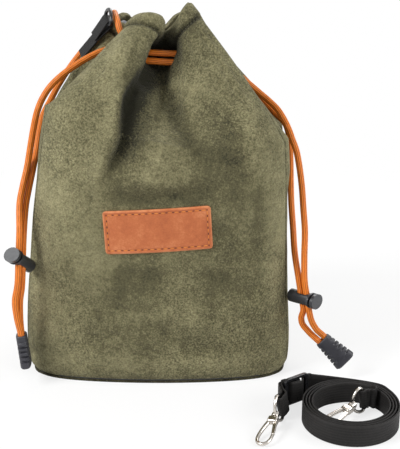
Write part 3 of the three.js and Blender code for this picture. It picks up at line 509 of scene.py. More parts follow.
pouch = {
    "leftEdge": [
        (0, 0.096), (0.015, 0.0985), (0.045, 0.0975), (0.083, 0.0935), (0.12, 0.0892), (0.147, 0.0848),
        (0.172, 0.0805), (0.2, 0.076),
    ],
    "rightEdge": [
        (0, 0.092), (0.015, 0.0935), (0.045, 0.0923), (0.083, 0.0906), (0.12, 0.0896), (0.147, 0.089),
        (0.172, 0.0875), (0.2, 0.085),
    ],
    "halfDepth": 0.06,
    "cornerPower": 7,
    "frontSwell": [(0, 0.008), (0.05, 0.012), (0.13, 0.01), (0.2, 0.005)],
    "backSwell": [(0, 0.004), (0.1, 0.006), (0.2, 0.003)],
    "shoulder": [
        (0, 0.197), (0.5, 0.176), (1, 0.172), (1.5, 0.171), (2, 0.178), (2.5, 0.182), (3, 0.188),
        (3.5, 0.186),
    ],
    "rim": [
        (0, -0.017, -0.004, 0.249, 0), (0.2, -0.007, -0.019, 0.255, 0.003),
        (0.35, 0.003, -0.014, 0.251, -0.006), (0.5, 0.003, 0.003, 0.239, -0.022),
        (0.64, 0.011, -0.004, 0.247, -0.006), (0.8, 0.015, -0.011, 0.255, 0.001),
        (1, 0.02, -0.007, 0.26, 0.008), (1.16, 0.02, 0, 0.255, -0.002), (1.37, 0.012, 0.008, 0.245, -0.03),
        (1.58, 0.024, 0.019, 0.248, -0.026), (1.8, 0.025, 0.028, 0.249, -0.018),
        (2, 0.018, 0.034, 0.249, -0.006), (2.3, 0.009, 0.032, 0.246, -0.004), (2.5, 0, 0.02, 0.239, -0.02),
        (2.7, -0.009, 0.033, 0.243, -0.004), (3, -0.019, 0.033, 0.243, 0.004),
        (3.15, -0.0245, 0.029, 0.248, 0.006), (3.3, -0.028, 0.023, 0.248, 0.006),
        (3.5, -0.0305, 0.014, 0.2455, 0.005), (3.76, -0.013, 0.007, 0.239, -0.024),
    ],
    "foot": 0.0021,
    "padding": 0.0059, "neckPadding": 0.0028,
    "neckBend": 0.3, "neckRise": 0.004,
}
seamShare = 2 ** (-1 / pouch["cornerPower"])


@functools.lru_cache(maxsize=None)
def around(which, u, column):
    ring = pouch[which]
    n, at = len(ring), u % 4

    def item(j):
        turns, k = divmod(j, n)
        return ring[k][0] + 4 * turns, ring[k][column]

    i = n - 1
    while i > 0 and item(i)[0] > at:
        i -= 1
    (ta, pa), (t0, p0), (t1, p1), (tb, pb) = item(i - 1), item(i), item(i + 1), item(i + 2)
    return hermite(t0, t1, p0, p1, (p1 - pa) / (t1 - ta), (pb - p0) / (tb - t0), at)


def bodyPoint(u, z):
    panel = math.floor(u % 4 + 1e-9)
    across = 2 * (u % 4 - panel) - 1
    share = seamShare * across
    other = (1 - abs(share) ** pouch["cornerPower"]) ** (1 / pouch["cornerPower"])
    x, y = [(share, -other), (other, share), (-share, other), (-other, -share)][panel % 4]
    swell = along(pouch["frontSwell"], z) if panel == 0 else along(pouch["backSwell"], z) if panel == 2 else 0
    bulge = swell * (1 - across**2) * (-1 if panel == 0 else 1)
    edge = along(pouch["leftEdge" if x < 0 else "rightEdge"], z)
    return Vector((x * edge, y * pouch["halfDepth"] + bulge, z))


def wall(u, level):
    top = around("shoulder", u, 1)
    if level <= 1:
        return bodyPoint(u, pouch["foot"] + (top - pouch["foot"]) * level)
    w = level - 1
    start = bodyPoint(u, top)
    end = Vector([around("rim", u, column) for column in (1, 2, 3)])
    middle = start.lerp(end, pouch["neckBend"]) + Vector((0, 0, around("rim", u, 4) + pouch["neckRise"]))
    return start * (1 - w) ** 2 + middle * (2 * w * (1 - w)) + end * w**2


def outward(u, level):
    side = wall(u + 0.01, level) - wall(u - 0.01, level)
    up = wall(u, min(level + 0.01, 2)) - wall(u, max(level - 0.01, 0))
    return side.cross(up).normalized()


def under(u, level, depth):
    return wall(u, level) - outward(u, level) * depth


def innerDepth(level):
    return hermite(0.92, 1.12, pouch["padding"], pouch["neckPadding"], 0, 0, level)


# Cords: routes from the folds through the locks into the cord ends

cords = {
    "radius": 0.00225, "spacing": 0.0051, "ringCentre": (0, 0.0095), "ringReach": (0.0385, 0.025),
    "ringHeight": 0.2208, "ringSlope": 0.06, "ringTaper": 0.75, "ringSteps": 24, "socket": 0.0057,
    "gap": 0.0003, "straight": 0.003, "entry": 0.002, "offWall": 0.00285,
}
locks = {
    "left": {
        "centre": (-0.095, -0.0627, 0.0926), "down": (-0.04, -0.3, -0.95), "axis": (0.41, 0.655, -0.636),
        "above": 0.019, "below": 0.017,
    },
    "right": {
        "centre": (0.1015, -0.0548, 0.0607), "down": (0.16, -0.2, -0.97), "axis": (-0.735, 0.675, -0.05),
        "above": 0.013, "below": 0.009,
    },
}
clips = {
    "left": {"top": (-0.0972, -0.066, 0.0385), "down": (0.1, -0.04, -0.99), "wide": (0.1, -0.99, 0.05)},
    "right": {"top": (0.1148, -0.057, 0.03), "down": (0.73, -0.12, -0.68), "wide": (0.67, 0.1, 0.73)},
}
exits = {
    "leftStart": (0.08, (-0.038, -0.0064, 0.227), (-0.93, -0.3, -0.26)),
    "leftFinish": (1.02, (-0.0318, 0.0012, 0.2296), (0.72, -0.35, 0.6)),
    "rightStart": (0.43, (0.0415, -0.0028, 0.2172), (0.9, -0.1, -0.42)),
    "rightFinish": (-0.505, (0.0426, 0.0036, 0.2202), (0.96, 0.16, 0.02)),
}


def rest(u, level):
    return under(u, level, -cords["offWall"])


# Side, where it leaves the folds, side of the lock, side of the clip, points above the lock and below it
routes = {
    "cord_left_front": ("left", "leftStart", -1, 1, [
        (-0.0465, -0.0095, 0.224), (-0.055, -0.0125, 0.2196), (-0.066, -0.0165, 0.2125),
        (-0.075, -0.0195, 0.2045), (-0.0806, -0.022, 0.1965), (-0.0843, -0.024, 0.188),
        (-0.0869, -0.0258, 0.178), (-0.0892, -0.0281, 0.1665), (-0.092, -0.0331, 0.1506),
        (-0.0944, -0.0396, 0.1395), (-0.0962, -0.0466, 0.1286),
    ], [(-0.0993, -0.0696, 0.065), (-0.0987, -0.0694, 0.052)]),
    "cord_left_back": ("left", "leftFinish", 1, -1, [
        (-0.0284, 0.0002, 0.233), (-0.0266, 0.001, 0.2365), (-0.0282, 0.0024, 0.2403),
        (-0.0294, 0.0047, 0.2442), (-0.0308, 0.0086, 0.247), (-0.0318, 0.0136, 0.2484),
        (-0.033, 0.0192, 0.2492), rest(3.28, 1.9), rest(3.24, 1.78), rest(3.22, 1.66), rest(3.22, 1.55),
        rest(3.22, 1.4), rest(3.24, 1.25), rest(3.3, 1.12), rest(3.38, 1), (-0.0848, 0.004, 0.179),
        (-0.0864, -0.008, 0.169), (-0.0876, -0.019, 0.157), (-0.0886, -0.0299, 0.1482),
        (-0.0908, -0.0364, 0.1371), (-0.0926, -0.0434, 0.1262),
    ], [(-0.0966, -0.0656, 0.064), (-0.0976, -0.0642, 0.051)]),
    "cord_right_front": ("right", "rightStart", -1, 1, [
        (0.05, -0.0032, 0.212), (0.0583, -0.003, 0.2064), (0.063, -0.003, 0.2024), (0.0695, -0.004, 0.197),
        (0.0763, -0.0075, 0.1918), (0.0823, -0.012, 0.1866), (0.0863, -0.017, 0.1812),
        (0.0896, -0.021, 0.175), (0.0922, -0.025, 0.1683), (0.095, -0.027, 0.161), (0.0972, -0.029, 0.1508),
        (0.0992, -0.033, 0.1364), (0.1002, -0.038, 0.1227), (0.1013, -0.0435, 0.1074),
        (0.101, -0.049, 0.0897),
    ], [(0.1069, -0.058, 0.0445), (0.1107, -0.0576, 0.0378)]),
    "cord_right_back": ("right", "rightFinish", 1, -1, [
        (0.05, 0.0024, 0.2125), (0.059, 0.0022, 0.2035), (0.068, 0.0016, 0.1946), (0.076, -0.001, 0.187),
        (0.082, -0.005, 0.1815), (0.0882, -0.0085, 0.1758), (0.091, -0.01, 0.168), (0.0922, -0.01, 0.158),
        (0.0928, -0.011, 0.147), (0.0932, -0.013, 0.134), (0.0936, -0.018, 0.12), (0.0942, -0.03, 0.1055),
        (0.095, -0.041, 0.0897),
    ], [
        (0.0999, -0.0538, 0.0454), (0.1008, -0.0541, 0.0408), (0.1044, -0.055, 0.0362), (0.1086, -0.056, 0.032),
    ]),
}


def past(leaving, reach):
    return Vector(leaving[1]) + Vector(leaving[2]).normalized() * reach


def braided(name, line):
    bm = bmesh.new()
    tubeOf(bm, line, cords["radius"], 20)
    piece = finished(name + "_braid", bm, "pouch", finishes["drawcord"])
    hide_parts(name)
    return piece


def addStrand(name):
    side, leaving, lockSide, clipSide, route, tail = routes[name]
    lock, clip, leaving = locks[side], clips[side], exits[leaving]
    down = Vector(lock["down"]).normalized()
    middle = Vector(lock["centre"]) + Vector(lock["axis"]).normalized() * (lockSide * cords["spacing"] / 2)
    reach = Vector(clip["down"]).normalized()
    entry = Vector(clip["top"]) + Vector(clip["wide"]).normalized() * (clipSide * cords["spacing"] / 2)
    start = past(leaving, cords["gap"])
    points = [start, past(leaving, cords["straight"]), *map(Vector, route)]
    points += [middle - down * lock["above"], middle, middle + down * lock["below"], *map(Vector, tail)]
    points += [entry - reach * cords["entry"], entry + reach * cords["socket"]]
    line = smoothLine(points, 0.0011)
    return braided(name, line), line, lengthOf(line), start


def ringTrack(turn, rise):
    angle = math.pi + 2 * math.pi * turn
    x = cords["ringCentre"][0] + (cords["ringReach"][0] - cords["ringTaper"] * rise) * math.cos(angle)
    y = cords["ringCentre"][1] + (cords["ringReach"][1] - cords["ringTaper"] * rise) * math.sin(angle)
    return Vector((x, y, cords["ringHeight"] + rise - cords["ringSlope"] * x))


def addMouthCord(name, start, finish, rise):
    start, finish = exits[start], exits[finish]
    steps = cords["ringSteps"]
    points = [Vector(start[1]), past(start, -cords["straight"])]
    points += [ringTrack(start[0] + (finish[0] - start[0]) * i / steps, rise) for i in range(steps + 1)]
    points += [past(finish, -cords["straight"]), Vector(finish[1])]
    braided(name, smoothLine(points, 0.0012))


strands = {name: addStrand(name) for name in routes}
addMouthCord("drawcord_left_mouth", "leftStart", "leftFinish", cords["spacing"])
addMouthCord("drawcord_right_mouth", "rightStart", "rightFinish", 0)
print("cords laid", {name: round(strand[2], 4) for name, strand in strands.items()})


# Hard CAD parts that keep their shape, with their edges rounded

def refined(node, body, finish, width, segments):
    bm = bmesh.new()
    bm.from_mesh(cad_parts[node].data)
    bmesh.ops.remove_doubles(bm, verts=bm.verts, dist=2e-6)
    bmesh.ops.dissolve_limit(bm, angle_limit=math.radians(2), verts=bm.verts, edges=bm.edges)
    piece = finished(node + "_moulded", bm, body, finish, 40)
    softEdges(piece, width, segments, 35)
    piece.modifiers["soft edges"].harden_normals = True
    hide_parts(node)
    return piece


lockParts = [("_lock", "_lock_body", 0.0003, 2), ("_button", "_lock_button", 0.0004, 3)]
for side in ("left", "right"):
    for part, node, width, segments in lockParts:
        moving = side + part
        refined(side + node, moving, finishes["lock"], width, segments)
refined("strap_slider", "strap", finishes["slider"], 0.0005, 3)


clip = {
    "length": 0.024, "top": 0.0112, "end": 0.017, "thick": 0.0076, "squareness": 3.2,
    "ribs": 5, "ribsFrom": 0.08, "ribsTo": 0.8, "notch": 0.0005, "lowerNotch": 0.0013, "faceNotch": 0.0009,
    "lip": 0.0011, "bore": 0.0062,
}


def addClip(side):
    # A flat wedge with five moulded ribs round it, open at the top for the cord
    place = clips[side]
    down, wide = Vector(place["down"]), Vector(place["wide"])
    at = frameAt(Vector(place["top"]), down, down.cross(wide))

    def shape(s, t):
        half = (clip["top"] + (clip["end"] - clip["top"]) * t) / 2
        rib = (t - clip["ribsFrom"]) / (clip["ribsTo"] - clip["ribsFrom"]) * clip["ribs"]
        notch = 0
        if 0 < rib < clip["ribs"]:
            notch = smoothstep(0.42, 0.56, rib % 1) * smoothstep(1.0, 0.86, rib % 1)
        close = 1 - 0.16 * smoothstep(0.93, 1, t) ** 2 - 0.1 * (1 - smoothstep(0, 0.04, t)) ** 2
        c, d = math.cos(2 * math.pi * s), math.sin(2 * math.pi * s)
        across, through = (abs(way) ** (2 / clip["squareness"]) for way in (c, d))
        sideNotch = (clip["notch"] + clip["lowerNotch"] * smoothstep(0.22, 0.3, t)) * notch
        faceNotch = clip["faceNotch"] * notch * smoothstep(0.72, 0.98, across)
        y = math.copysign(across, c) * (half * close - sideNotch)
        z = math.copysign(through, d) * (clip["thick"] / 2 * close - faceNotch)
        return at @ Vector((clip["length"] * t, y, z))

    bm = bmesh.new()
    caps = capped(bm, mended(bm, sheetOf(bm, 72, 120, shape)))
    top = min(caps, key=lambda face: (face.calc_center_median() - Vector(place["top"])).length)
    bmesh.ops.inset_region(bm, faces=[top], thickness=clip["lip"], depth=0)
    hole = bmesh.ops.extrude_discrete_faces(bm, faces=[top])["faces"][0]
    bmesh.ops.translate(bm, verts=hole.verts, vec=down.normalized() * clip["bore"])
    bmesh.ops.recalc_face_normals(bm, faces=bm.faces)
    piece = finished(side + "_cord_end_moulded", bm, "pouch", finishes["rubber"], 50)
    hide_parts(side + "_cord_end")
    return piece


for side in ("left", "right"):
    addClip(side)

for name, (piece, line, length, start) in strands.items():
    side = routes[name][0]
    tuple(start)
    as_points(line)
print("locks and cord ends made")


# Webbing, tabs and rings

def ribbonOf(bm, points, ups, wide, thick, spacing):
    # Flat webbing with rounded edges along a line of points, each with its own upward direction
    line = smoothLine(points, spacing)
    steps = len(line) - 1
    final = len(points) - 1
    rungs, at = [], 0
    for i, p in enumerate(line):
        window = range(max(at - 1, 0), min(at + 3, final) + 1)
        at = max(min(window, key=lambda j: (points[j] - p).length), at)
        nearby = (max(at - 1, 0), at, min(at + 1, final))
        heading = (line[min(i + 1, steps)] - line[max(i - 1, 0)]).normalized()
        up = sum((ups[k] / ((points[k] - p).length + 1e-9) for k in nearby), Vector())
        up = (up - heading * up.dot(heading)).normalized()
        rungs.append((up, heading.cross(up)))
    half, edge = wide / 2, thick / 2
    section = []  # across, outwards
    for side in (1, -1):
        section += [(side * (half - edge) * f, side * edge) for f in (1, 0.5, 0, -0.5, -1)]
        for a in (math.pi / 4, math.pi / 2, 3 * math.pi / 4):
            section.append((-side * (half - edge) - side * edge * math.sin(a), side * edge * math.cos(a)))
    n = len(section)
    total = lengthOf(line)

    def place(s, t):
        i = round(t * steps)
        across, out = section[round(s * n) % n]
        return line[i] + rungs[i][0] * across + rungs[i][1] * out

    verts = sheetOf(bm, n, steps, place, (1, total))
    uvLayer = bm.loops.layers.uv.verify()
    for face in facesOf(verts):
        for loop in face.loops:
            s = loop[uvLayer].uv.x
            loop[uvLayer].uv.x = section[round(s * n) % n][0]
    capped(bm, mended(bm, verts))
    return total


webbing = {"wide": 0.015, "thick": 0.0011, "gap": 0.0003, "flare": 0.0002}
legSpacing = webbing["thick"] + webbing["gap"]


def roundBar(line, spacing, barRadius):
    # The two legs of webbing round a bar, as plan offsets: out, round the bar and back
    radius = barRadius + webbing["gap"] + webbing["thick"] / 2
    n = len(line)

    def away(i):
        a, b = line[max(i - 1, 0)], line[min(i + 1, n - 1)]
        dx, dy = b[0] - a[0], b[1] - a[1]
        long = math.hypot(dx, dy)
        return -dy / long, dx / long

    def offset(i, side):
        half = spacing / 2
        if i >= n - 2:
            half = radius if i == n - 1 else (spacing / 2 + radius) / 2 + webbing["flare"]
        nx, ny = away(i)
        return line[i][0] + side * half * nx, line[i][1] + side * half * ny

    nx, ny = away(n - 1)
    arc = []
    for i in range(1, 6):
        turn = math.pi * i / 6
        a, b = -math.cos(turn) * radius, math.sin(turn) * radius
        arc.append((line[n - 1][0] + a * nx + b * ny, line[n - 1][1] + a * ny - b * nx))
    return [offset(i, -1) for i in range(n)] + arc + [offset(i, 1) for i in reversed(range(n))]


def addWire(bm, at, halfBar, reach, wire):
    # A closed D of round wire: its straight bar lies along Z and its bow reaches out along X
    h = halfBar + wire
    corners = [(0, -h * 0.86), (0, 0), (0, h * 0.86), (reach * 0.14, h * 0.99), (reach * 0.42, h * 0.94),
               (reach * 0.76, h * 0.66), (reach * 0.95, h * 0.3), (reach, 0)]
    corners += [(x, -z) for x, z in reversed(corners[3:7])]
    line = smoothLine([Vector((x, 0, z)) for x, z in corners], 0.0006, True)
    tubeOf(bm, [at @ p for p in line], wire, 20, True)


ring = {"wire": 0.0013, "bar": 0.008, "reach": 0.008}
tab = {"steps": (0, 0.008, 0.016, 0.026, 0.031), "stand": 0.0005}

# Turn round the pouch, level, lean, line of the bar, swing and body of the ring
tabs = {
    "left": (3.43, 1.57, (0.66, 0, 0.75), (0.44, -0.9, 0), 0.5, "left_ring"),
    "right": (2.2, 1.3, (-0.42, -0.19, 0.86), (-0.904, 0.217, -0.369), 0.1, "right_ring"),
}


def addTab(side):
    u, level, lean, barLine, swing, ringBody = tabs[side]
    direction = Vector(lean).normalized()
    across = Vector(barLine)
    across = (across - direction * across.dot(direction)).normalized()
    out = across.cross(direction)
    start = under(u, level, -webbing["gap"] - webbing["thick"] / 2 - tab["stand"])
    middle = legSpacing / 2
    plan = roundBar([(s, middle) for s in tab["steps"]], legSpacing, ring["wire"])[:-2]
    points = [start + direction * s + out * n for s, n in plan]
    bm = bmesh.new()
    ribbonOf(bm, points, [across] * len(points), webbing["wide"], webbing["thick"], 0.0007)
    piece = finished(f"strap_tab_{side}_woven", bm, "pouch", finishes["blackShadedTabWebbing"], 60)
    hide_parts(f"strap_tab_{side}")

    pivot = start + direction * tab["steps"][-1] + out * middle
    at = frameAt(pivot, Matrix.Rotation(swing, 3, across) @ direction, across)
    bm = bmesh.new()
    addWire(bm, at, ring["bar"], ring["reach"], ring["wire"])
    wire = finished(f"d_ring_{side}_wire", bm, ringBody, finishes["ring"])
    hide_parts(f"d_ring_{side}")


for side in tabs:
    addTab(side)

strap = {
    "height": 0.0108, "restHeight": 0.0078, "lift": 0.003,
    "slider": (0.0935, -0.0946), "sliderLine": (-0.82, -0.572),
    "outerBar": (0.0812, -0.1172), "outerAim": (-0.405, -0.914, 0),
    "innerBar": (0.137, -0.1076), "innerAim": (-0.808, -0.589, 0),
    "coil": (0.127, -0.1192), "coilRadius": 0.032, "pitch": 0.002, "turns": 3.875, "steps": 24,
    "sewn": [
        (0.009, -0.00505), (0.0065, -0.005), (0.0044, -0.0042), (0.003, -0.003), (0.0018, -0.0021),
        (0, -0.002), (-0.0017, -0.0018), (-0.0023, -0.0008), (-0.0023, 0.0008), (-0.0017, 0.0018),
        (0, 0.002), (0.0018, 0.002), (0.003, 0.0011), (0.0045, -0.001), (0.0056, -0.0027),
        (0.0072, -0.0035), (0.009, -0.0036),
    ],
    "bend": [
        (0.0106, -0.00285), (0.0122, -0.0024), (0.0132, -0.0009), (0.0139, 0.0014), (0.0148, 0.0044),
        (0.0161, 0.0078),
    ],
    "through": [
        (0.009, -0.00215), (0.0082, -0.00215), (0.0069, -0.0019), (0.0056, 0.0002), (0.0039, 0.0025),
        (0.002, 0.0033), (0, 0.00345), (-0.002, 0.0033), (-0.0039, 0.0025), (-0.0056, 0.0002),
        (-0.0069, -0.0019), (-0.0082, -0.00215), (-0.0105, -0.00215), (-0.014, -0.0021),
    ],
    "outerSpacing": 0.00145, "tiltReach": 0.016,
    "lastSteps": [(0.0019, -0.0024), (0.0021, -0.0044), (0.0006, -0.0058)],
}
hook = {
    "long": 0.038, "drop": 0.0091, "eyeWire": 0.0011, "eyeBar": 0.0082, "eyeReach": 0.0096, "wire": 0.00115,
    "boss": (0.0084, 0.0116, 0.0027), "bossEdge": 0.0003, "outerRoll": -0.16,
    "block": (0.0051, 0.007, 0.0046), "blockAt": (0.01445, 0.0001, 0), "blockEdge": 0.0011,
    "bow": [
        (0.0146, -0.002), (0.0175, -0.0026), (0.022, -0.0036), (0.028, -0.0044), (0.0325, -0.0043),
        (0.0356, -0.0029), (0.0368, 0), (0.0356, 0.0029), (0.0328, 0.0043), (0.03, 0.0046), (0.0276, 0.0045),
    ],
}


def hookFrame(bar, aim, roll):
    flat = math.sqrt(hook["long"] ** 2 - hook["drop"] ** 2)
    line = (Vector(aim).normalized() * flat + Vector((0, 0, -hook["drop"]))).normalized()
    upright = Vector((roll, 0, 1))
    return frameAt(Vector((*bar, strap["height"])), line, upright - line * upright.dot(line))


hookFrames = {
    "outer": hookFrame(strap["outerBar"], strap["outerAim"], hook["outerRoll"]),
    "inner": hookFrame(strap["innerBar"], strap["innerAim"], 0),
}


def addStrap():
    lineX, lineY = strap["sliderLine"]

    def fromSlider(spot):
        s, n = spot
        return strap["slider"][0] + s * lineX - n * lineY, strap["slider"][1] + s * lineY + n * lineX

    upright = Vector((0, 0, 1))
    outerTilt, innerTilt = (hookFrames[end].to_3x3() @ upright for end in ("outer", "inner"))
    points, ups = [], []

    def lay(x, y, up, z=strap["height"]):
        points.append(Vector((x, y, z)))
        ups.append(up)

    for spot in strap["sewn"]:
        lay(*fromSlider(spot), upright)
    bar = strap["outerBar"]
    for x, y in roundBar([*map(fromSlider, strap["bend"]), bar], strap["outerSpacing"], hook["eyeWire"]):
        near = 1 - min(math.hypot(x - bar[0], y - bar[1]) / strap["tiltReach"], 1)
        lay(x, y, upright.lerp(outerTilt, min(near * 1.6, 1)))
    for spot in strap["through"]:
        lay(*fromSlider(spot), upright)
    points[-1].z -= strap["lift"] / 3
    steps = strap["steps"]
    total = round(strap["turns"] * steps)
    for i in range(-3, total + 1):
        turn = 2 * math.pi * i / steps + math.pi / 2
        radius = strap["coilRadius"] - strap["pitch"] * i / steps + (0.00013 * i**2 if i < 0 else 0)
        rise = strap["lift"] * max(0, (i - total + 4) / 4) * 0.5
        x = strap["coil"][0] + radius * math.sin(turn)
        y = strap["coil"][1] + radius * math.cos(turn)
        lay(x, y, upright, strap["restHeight"] + rise)
    last = points[-1]
    for dx, dy in strap["lastSteps"]:
        lay(last.x + dx, last.y + dy, upright)
    bar = strap["innerBar"]
    inward = (last.x - bar[0], last.y - 0.005 - bar[1])
    legs = [(bar[0] + t * inward[0], bar[1] + t * inward[1]) for t in (0.62, 0.36, 0.18, 0)]
    for x, y in roundBar(legs, legSpacing, hook["eyeWire"]):
        lay(x, y, innerTilt)
    bm = bmesh.new()
    total = ribbonOf(bm, points, ups, webbing["wide"], webbing["thick"], 0.0008)
    piece = finished("strap_webbing_woven", bm, "strap", finishes["webbing"], 60)
    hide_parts("strap_webbing")
    print("strap length", round(total, 3))


addStrap()


def rounded(bm, edges, offset, segments):
    bmesh.ops.bevel(
        bm, geom=edges, offset=offset, segments=segments, profile=0.5, affect="EDGES", material=-1)


def addHook(side):
    # Eye with its boss, swivelling hook with its block, gate and pins
    at = hookFrames[side]
    bm = bmesh.new()
    addWire(bm, at, hook["eyeBar"], hook["eyeReach"], hook["eyeWire"])
    low, high, radius = hook["boss"]
    place = at @ Matrix.Translation(((low + high) / 2, 0, 0)) @ Matrix.Rotation(math.pi / 2, 4, "Y")
    turned = bmesh.ops.create_cone(
        bm, cap_ends=True, segments=32, radius1=radius, radius2=radius, depth=high - low, matrix=place)
    rims = [edge for edge in edgesOf(turned["verts"]) if edge.calc_face_angle(0) > 1]
    rounded(bm, rims, hook["bossEdge"], 3)
    eye = finished(f"{side}_eye_cast", bm, f"{side}_eye", finishes["nickel"], 50)
    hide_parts(f"{side}_hook_eye")

    line = smoothLine([at @ Vector((x, y, 0)) for x, y in hook["bow"]], 0.0006)
    bm = bmesh.new()
    tubeOf(bm, line, lambda t: hook["wire"] * (1.28 - 0.35 * t), 20)
    place = at @ Matrix.Translation(hook["blockAt"]) @ Matrix.Diagonal((*hook["block"], 1))
    block = bmesh.ops.create_cube(bm, size=1, matrix=place)["verts"]
    rounded(bm, list(edgesOf(block)), hook["blockEdge"], 4)
    body = finished(f"{side}_hook_cast", bm, f"{side}_hook", finishes["nickel"], 50)
    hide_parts(f"{side}_hook_body")
    refined(f"{side}_hook_gate", f"{side}_gate", finishes["nickel"], 0.0003, 3)
    refined(f"{side}_hook_rivet", f"{side}_hook", finishes["nickel"], 0.0003, 2)
    refined(f"{side}_hook_gate_pin", f"{side}_hook", finishes["nickel"], 0.00015, 2)


for side in hookFrames:
    addHook(side)
print("strap, rings and hooks made")


# Padded walls

panels = {
    "front_panel": {"seams": (-0.08, 1.08), "foam": "foam_front", "columns": 150},
    "side_panel_right": {"seams": (1.08, 1.92), "foam": "foam_right", "columns": 80},
    "back_panel": {"seams": (1.92, 3.08), "foam": "foam_back", "columns": 124},
    "side_panel_left": {"seams": (3.08, 3.92), "foam": "foam_left", "columns": 80},
}
walls = {
    "rows": 186, "quickShare": 0.62, "seamGap": 0.0015,
    "lumps": [  # scale, shift and height
        (24, (0, 0, 0), 0.001), (60, (3, 1, 7), 0.0005), (150, (0, 0, 0), 0.00018),
    ],
    "gathers": 11, "gather": 0.0006, "seamDip": 0.001, "footDip": 0.0022,
    "hem": 0.0014, "stitchGroove": 0.0013, "rimRound": 0.0017, "pushShading": 0.009, "lumpShading": 0.007,
}
rimHem = 1.905  # level of the hem's stitches

# A fold is a line on the panel, its width left and right of that line, or below and above it, and its push
folds = {
    "front_panel": [
        ([(0.006, 0.24), (0.003, 0.229), (-0.001, 0.22), (-0.005, 0.2125), (-0.009, 0.205)],
         0.0065, 0.006, -0.0095),
        ([(-0.009, 0.2215), (-0.0165, 0.2105), (-0.0205, 0.204), (-0.0215, 0.191), (-0.0225, 0.182),
          (-0.03, 0.163), (-0.0355, 0.149)], 0.0022, 0.0105, -0.0068),
        ([(-0.02, 0.216), (-0.0275, 0.2), (-0.029, 0.184), (-0.037, 0.163), (-0.043, 0.147)],
         0.008, 0.003, 0.0026),
        ([(0.001, 0.208), (-0.0015, 0.197), (-0.004, 0.18), (0.004, 0.165), (0.01, 0.154)],
         0.0075, 0.0075, 0.0022),
        ([(0.004, 0.208), (0.006, 0.199), (0.0097, 0.19), (0.0184, 0.18), (0.0279, 0.1647), (0.0314, 0.1474)],
         0.005, 0.008, -0.004),
        ([(-0.0364, 0.1435), (-0.02, 0.1395), (-0.0047, 0.1392), (0.0347, 0.1445), (0.0547, 0.151)],
         0.0048, 0.006, -0.0019),
        ([(-0.022, 0.1525), (0.002, 0.15), (0.026, 0.153)], 0.007, 0.007, 0.0013),
        ([(0.034, 0.205), (0.044, 0.185), (0.053, 0.16), (0.058, 0.135)], 0.009, 0.011, -0.0018),
        ([(0.052, 0.215), (0.062, 0.185), (0.07, 0.15), (0.072, 0.11)], 0.009, 0.009, 0.0014),
        ([(-0.0423, 0.165), (-0.0425, 0.1554), (-0.041, 0.1341), (-0.039, 0.122)], 0.0025, 0.0045, 0.0007),
        ([(-0.055, 0.205), (-0.062, 0.17), (-0.066, 0.13), (-0.068, 0.09)], 0.009, 0.009, 0.0012),
        ([(0.036, 0.121), (0.052, 0.108), (0.074, 0.103)], 0.008, 0.006, -0.0015),
        ([(0.03, 0.09), (0.048, 0.077), (0.062, 0.071), (0.078, 0.074)], 0.007, 0.007, -0.0014),
        ([(-0.034, 0.09), (-0.014, 0.081), (0.01, 0.083)], 0.009, 0.007, -0.0011),
        ([(-0.01, 0.054), (0.008, 0.037), (0.028, 0.028), (0.045, 0.032)], 0.0045, 0.006, -0.0012),
        ([(0.01, 0.059), (0.028, 0.046), (0.048, 0.046)], 0.005, 0.005, 0.001),
        ([(-0.062, 0.072), (-0.04, 0.061), (-0.018, 0.066)], 0.007, 0.007, -0.0009),
        ([(-0.052, 0.045), (-0.04, 0.036), (-0.02, 0.038)], 0.005, 0.005, -0.0007),
        ([(-0.078, 0.026), (-0.03, 0.019), (0.03, 0.018), (0.08, 0.024)], 0.005, 0.005, 0.0007),
        ([(-0.085, 0.07), (-0.087, 0.1), (-0.085, 0.14)], 0.009, 0.007, -0.0015),
        ([(0.087, 0.045), (0.089, 0.07), (0.087, 0.11)], 0.007, 0.009, -0.0015),
    ],
    "back_panel": [
        ([(-0.002, 0.222), (0.0, 0.195), (-0.008, 0.165), (-0.012, 0.14)], 0.007, 0.007, -0.0036),
        ([(0.02, 0.218), (0.028, 0.19), (0.034, 0.16)], 0.008, 0.005, -0.0026),
        ([(-0.022, 0.215), (-0.032, 0.188), (-0.04, 0.155)], 0.005, 0.009, -0.0026),
        ([(0.01, 0.205), (0.014, 0.175), (0.016, 0.145)], 0.008, 0.008, 0.002),
        ([(-0.05, 0.19), (-0.06, 0.15), (-0.062, 0.11)], 0.01, 0.01, 0.0016),
        ([(-0.04, 0.1), (0.0, 0.092), (0.04, 0.098)], 0.012, 0.009, -0.0014),
        ([(-0.06, 0.045), (-0.02, 0.036), (0.03, 0.04), (0.065, 0.05)], 0.01, 0.007, -0.0012),
    ],
    "side_panel_right": [
        ([(-0.004, 0.215), (-0.01, 0.185), (-0.006, 0.15)], 0.007, 0.007, -0.0034),
        ([(0.016, 0.21), (0.022, 0.18), (0.026, 0.145)], 0.007, 0.007, -0.0024),
        ([(-0.026, 0.205), (-0.034, 0.17), (-0.036, 0.13)], 0.008, 0.008, 0.0016),
        ([(-0.03, 0.09), (0.0, 0.082), (0.03, 0.092)], 0.01, 0.01, -0.0013),
        ([(-0.035, 0.04), (0.0, 0.034), (0.035, 0.045)], 0.008, 0.008, -0.0009),
    ],
    "side_panel_left": [
        ([(0.0, 0.22), (-0.006, 0.19), (-0.004, 0.155)], 0.007, 0.007, -0.003),
        ([(0.02, 0.212), (0.026, 0.185), (0.03, 0.15)], 0.007, 0.007, -0.0022),
        ([(-0.022, 0.21), (-0.03, 0.18), (-0.034, 0.14)], 0.008, 0.008, 0.0016),
        ([(-0.03, 0.1), (0.0, 0.09), (0.034, 0.1)], 0.01, 0.01, -0.0012),
        ([(-0.035, 0.045), (0.005, 0.036), (0.036, 0.046)], 0.008, 0.008, -0.0009),
    ],
}

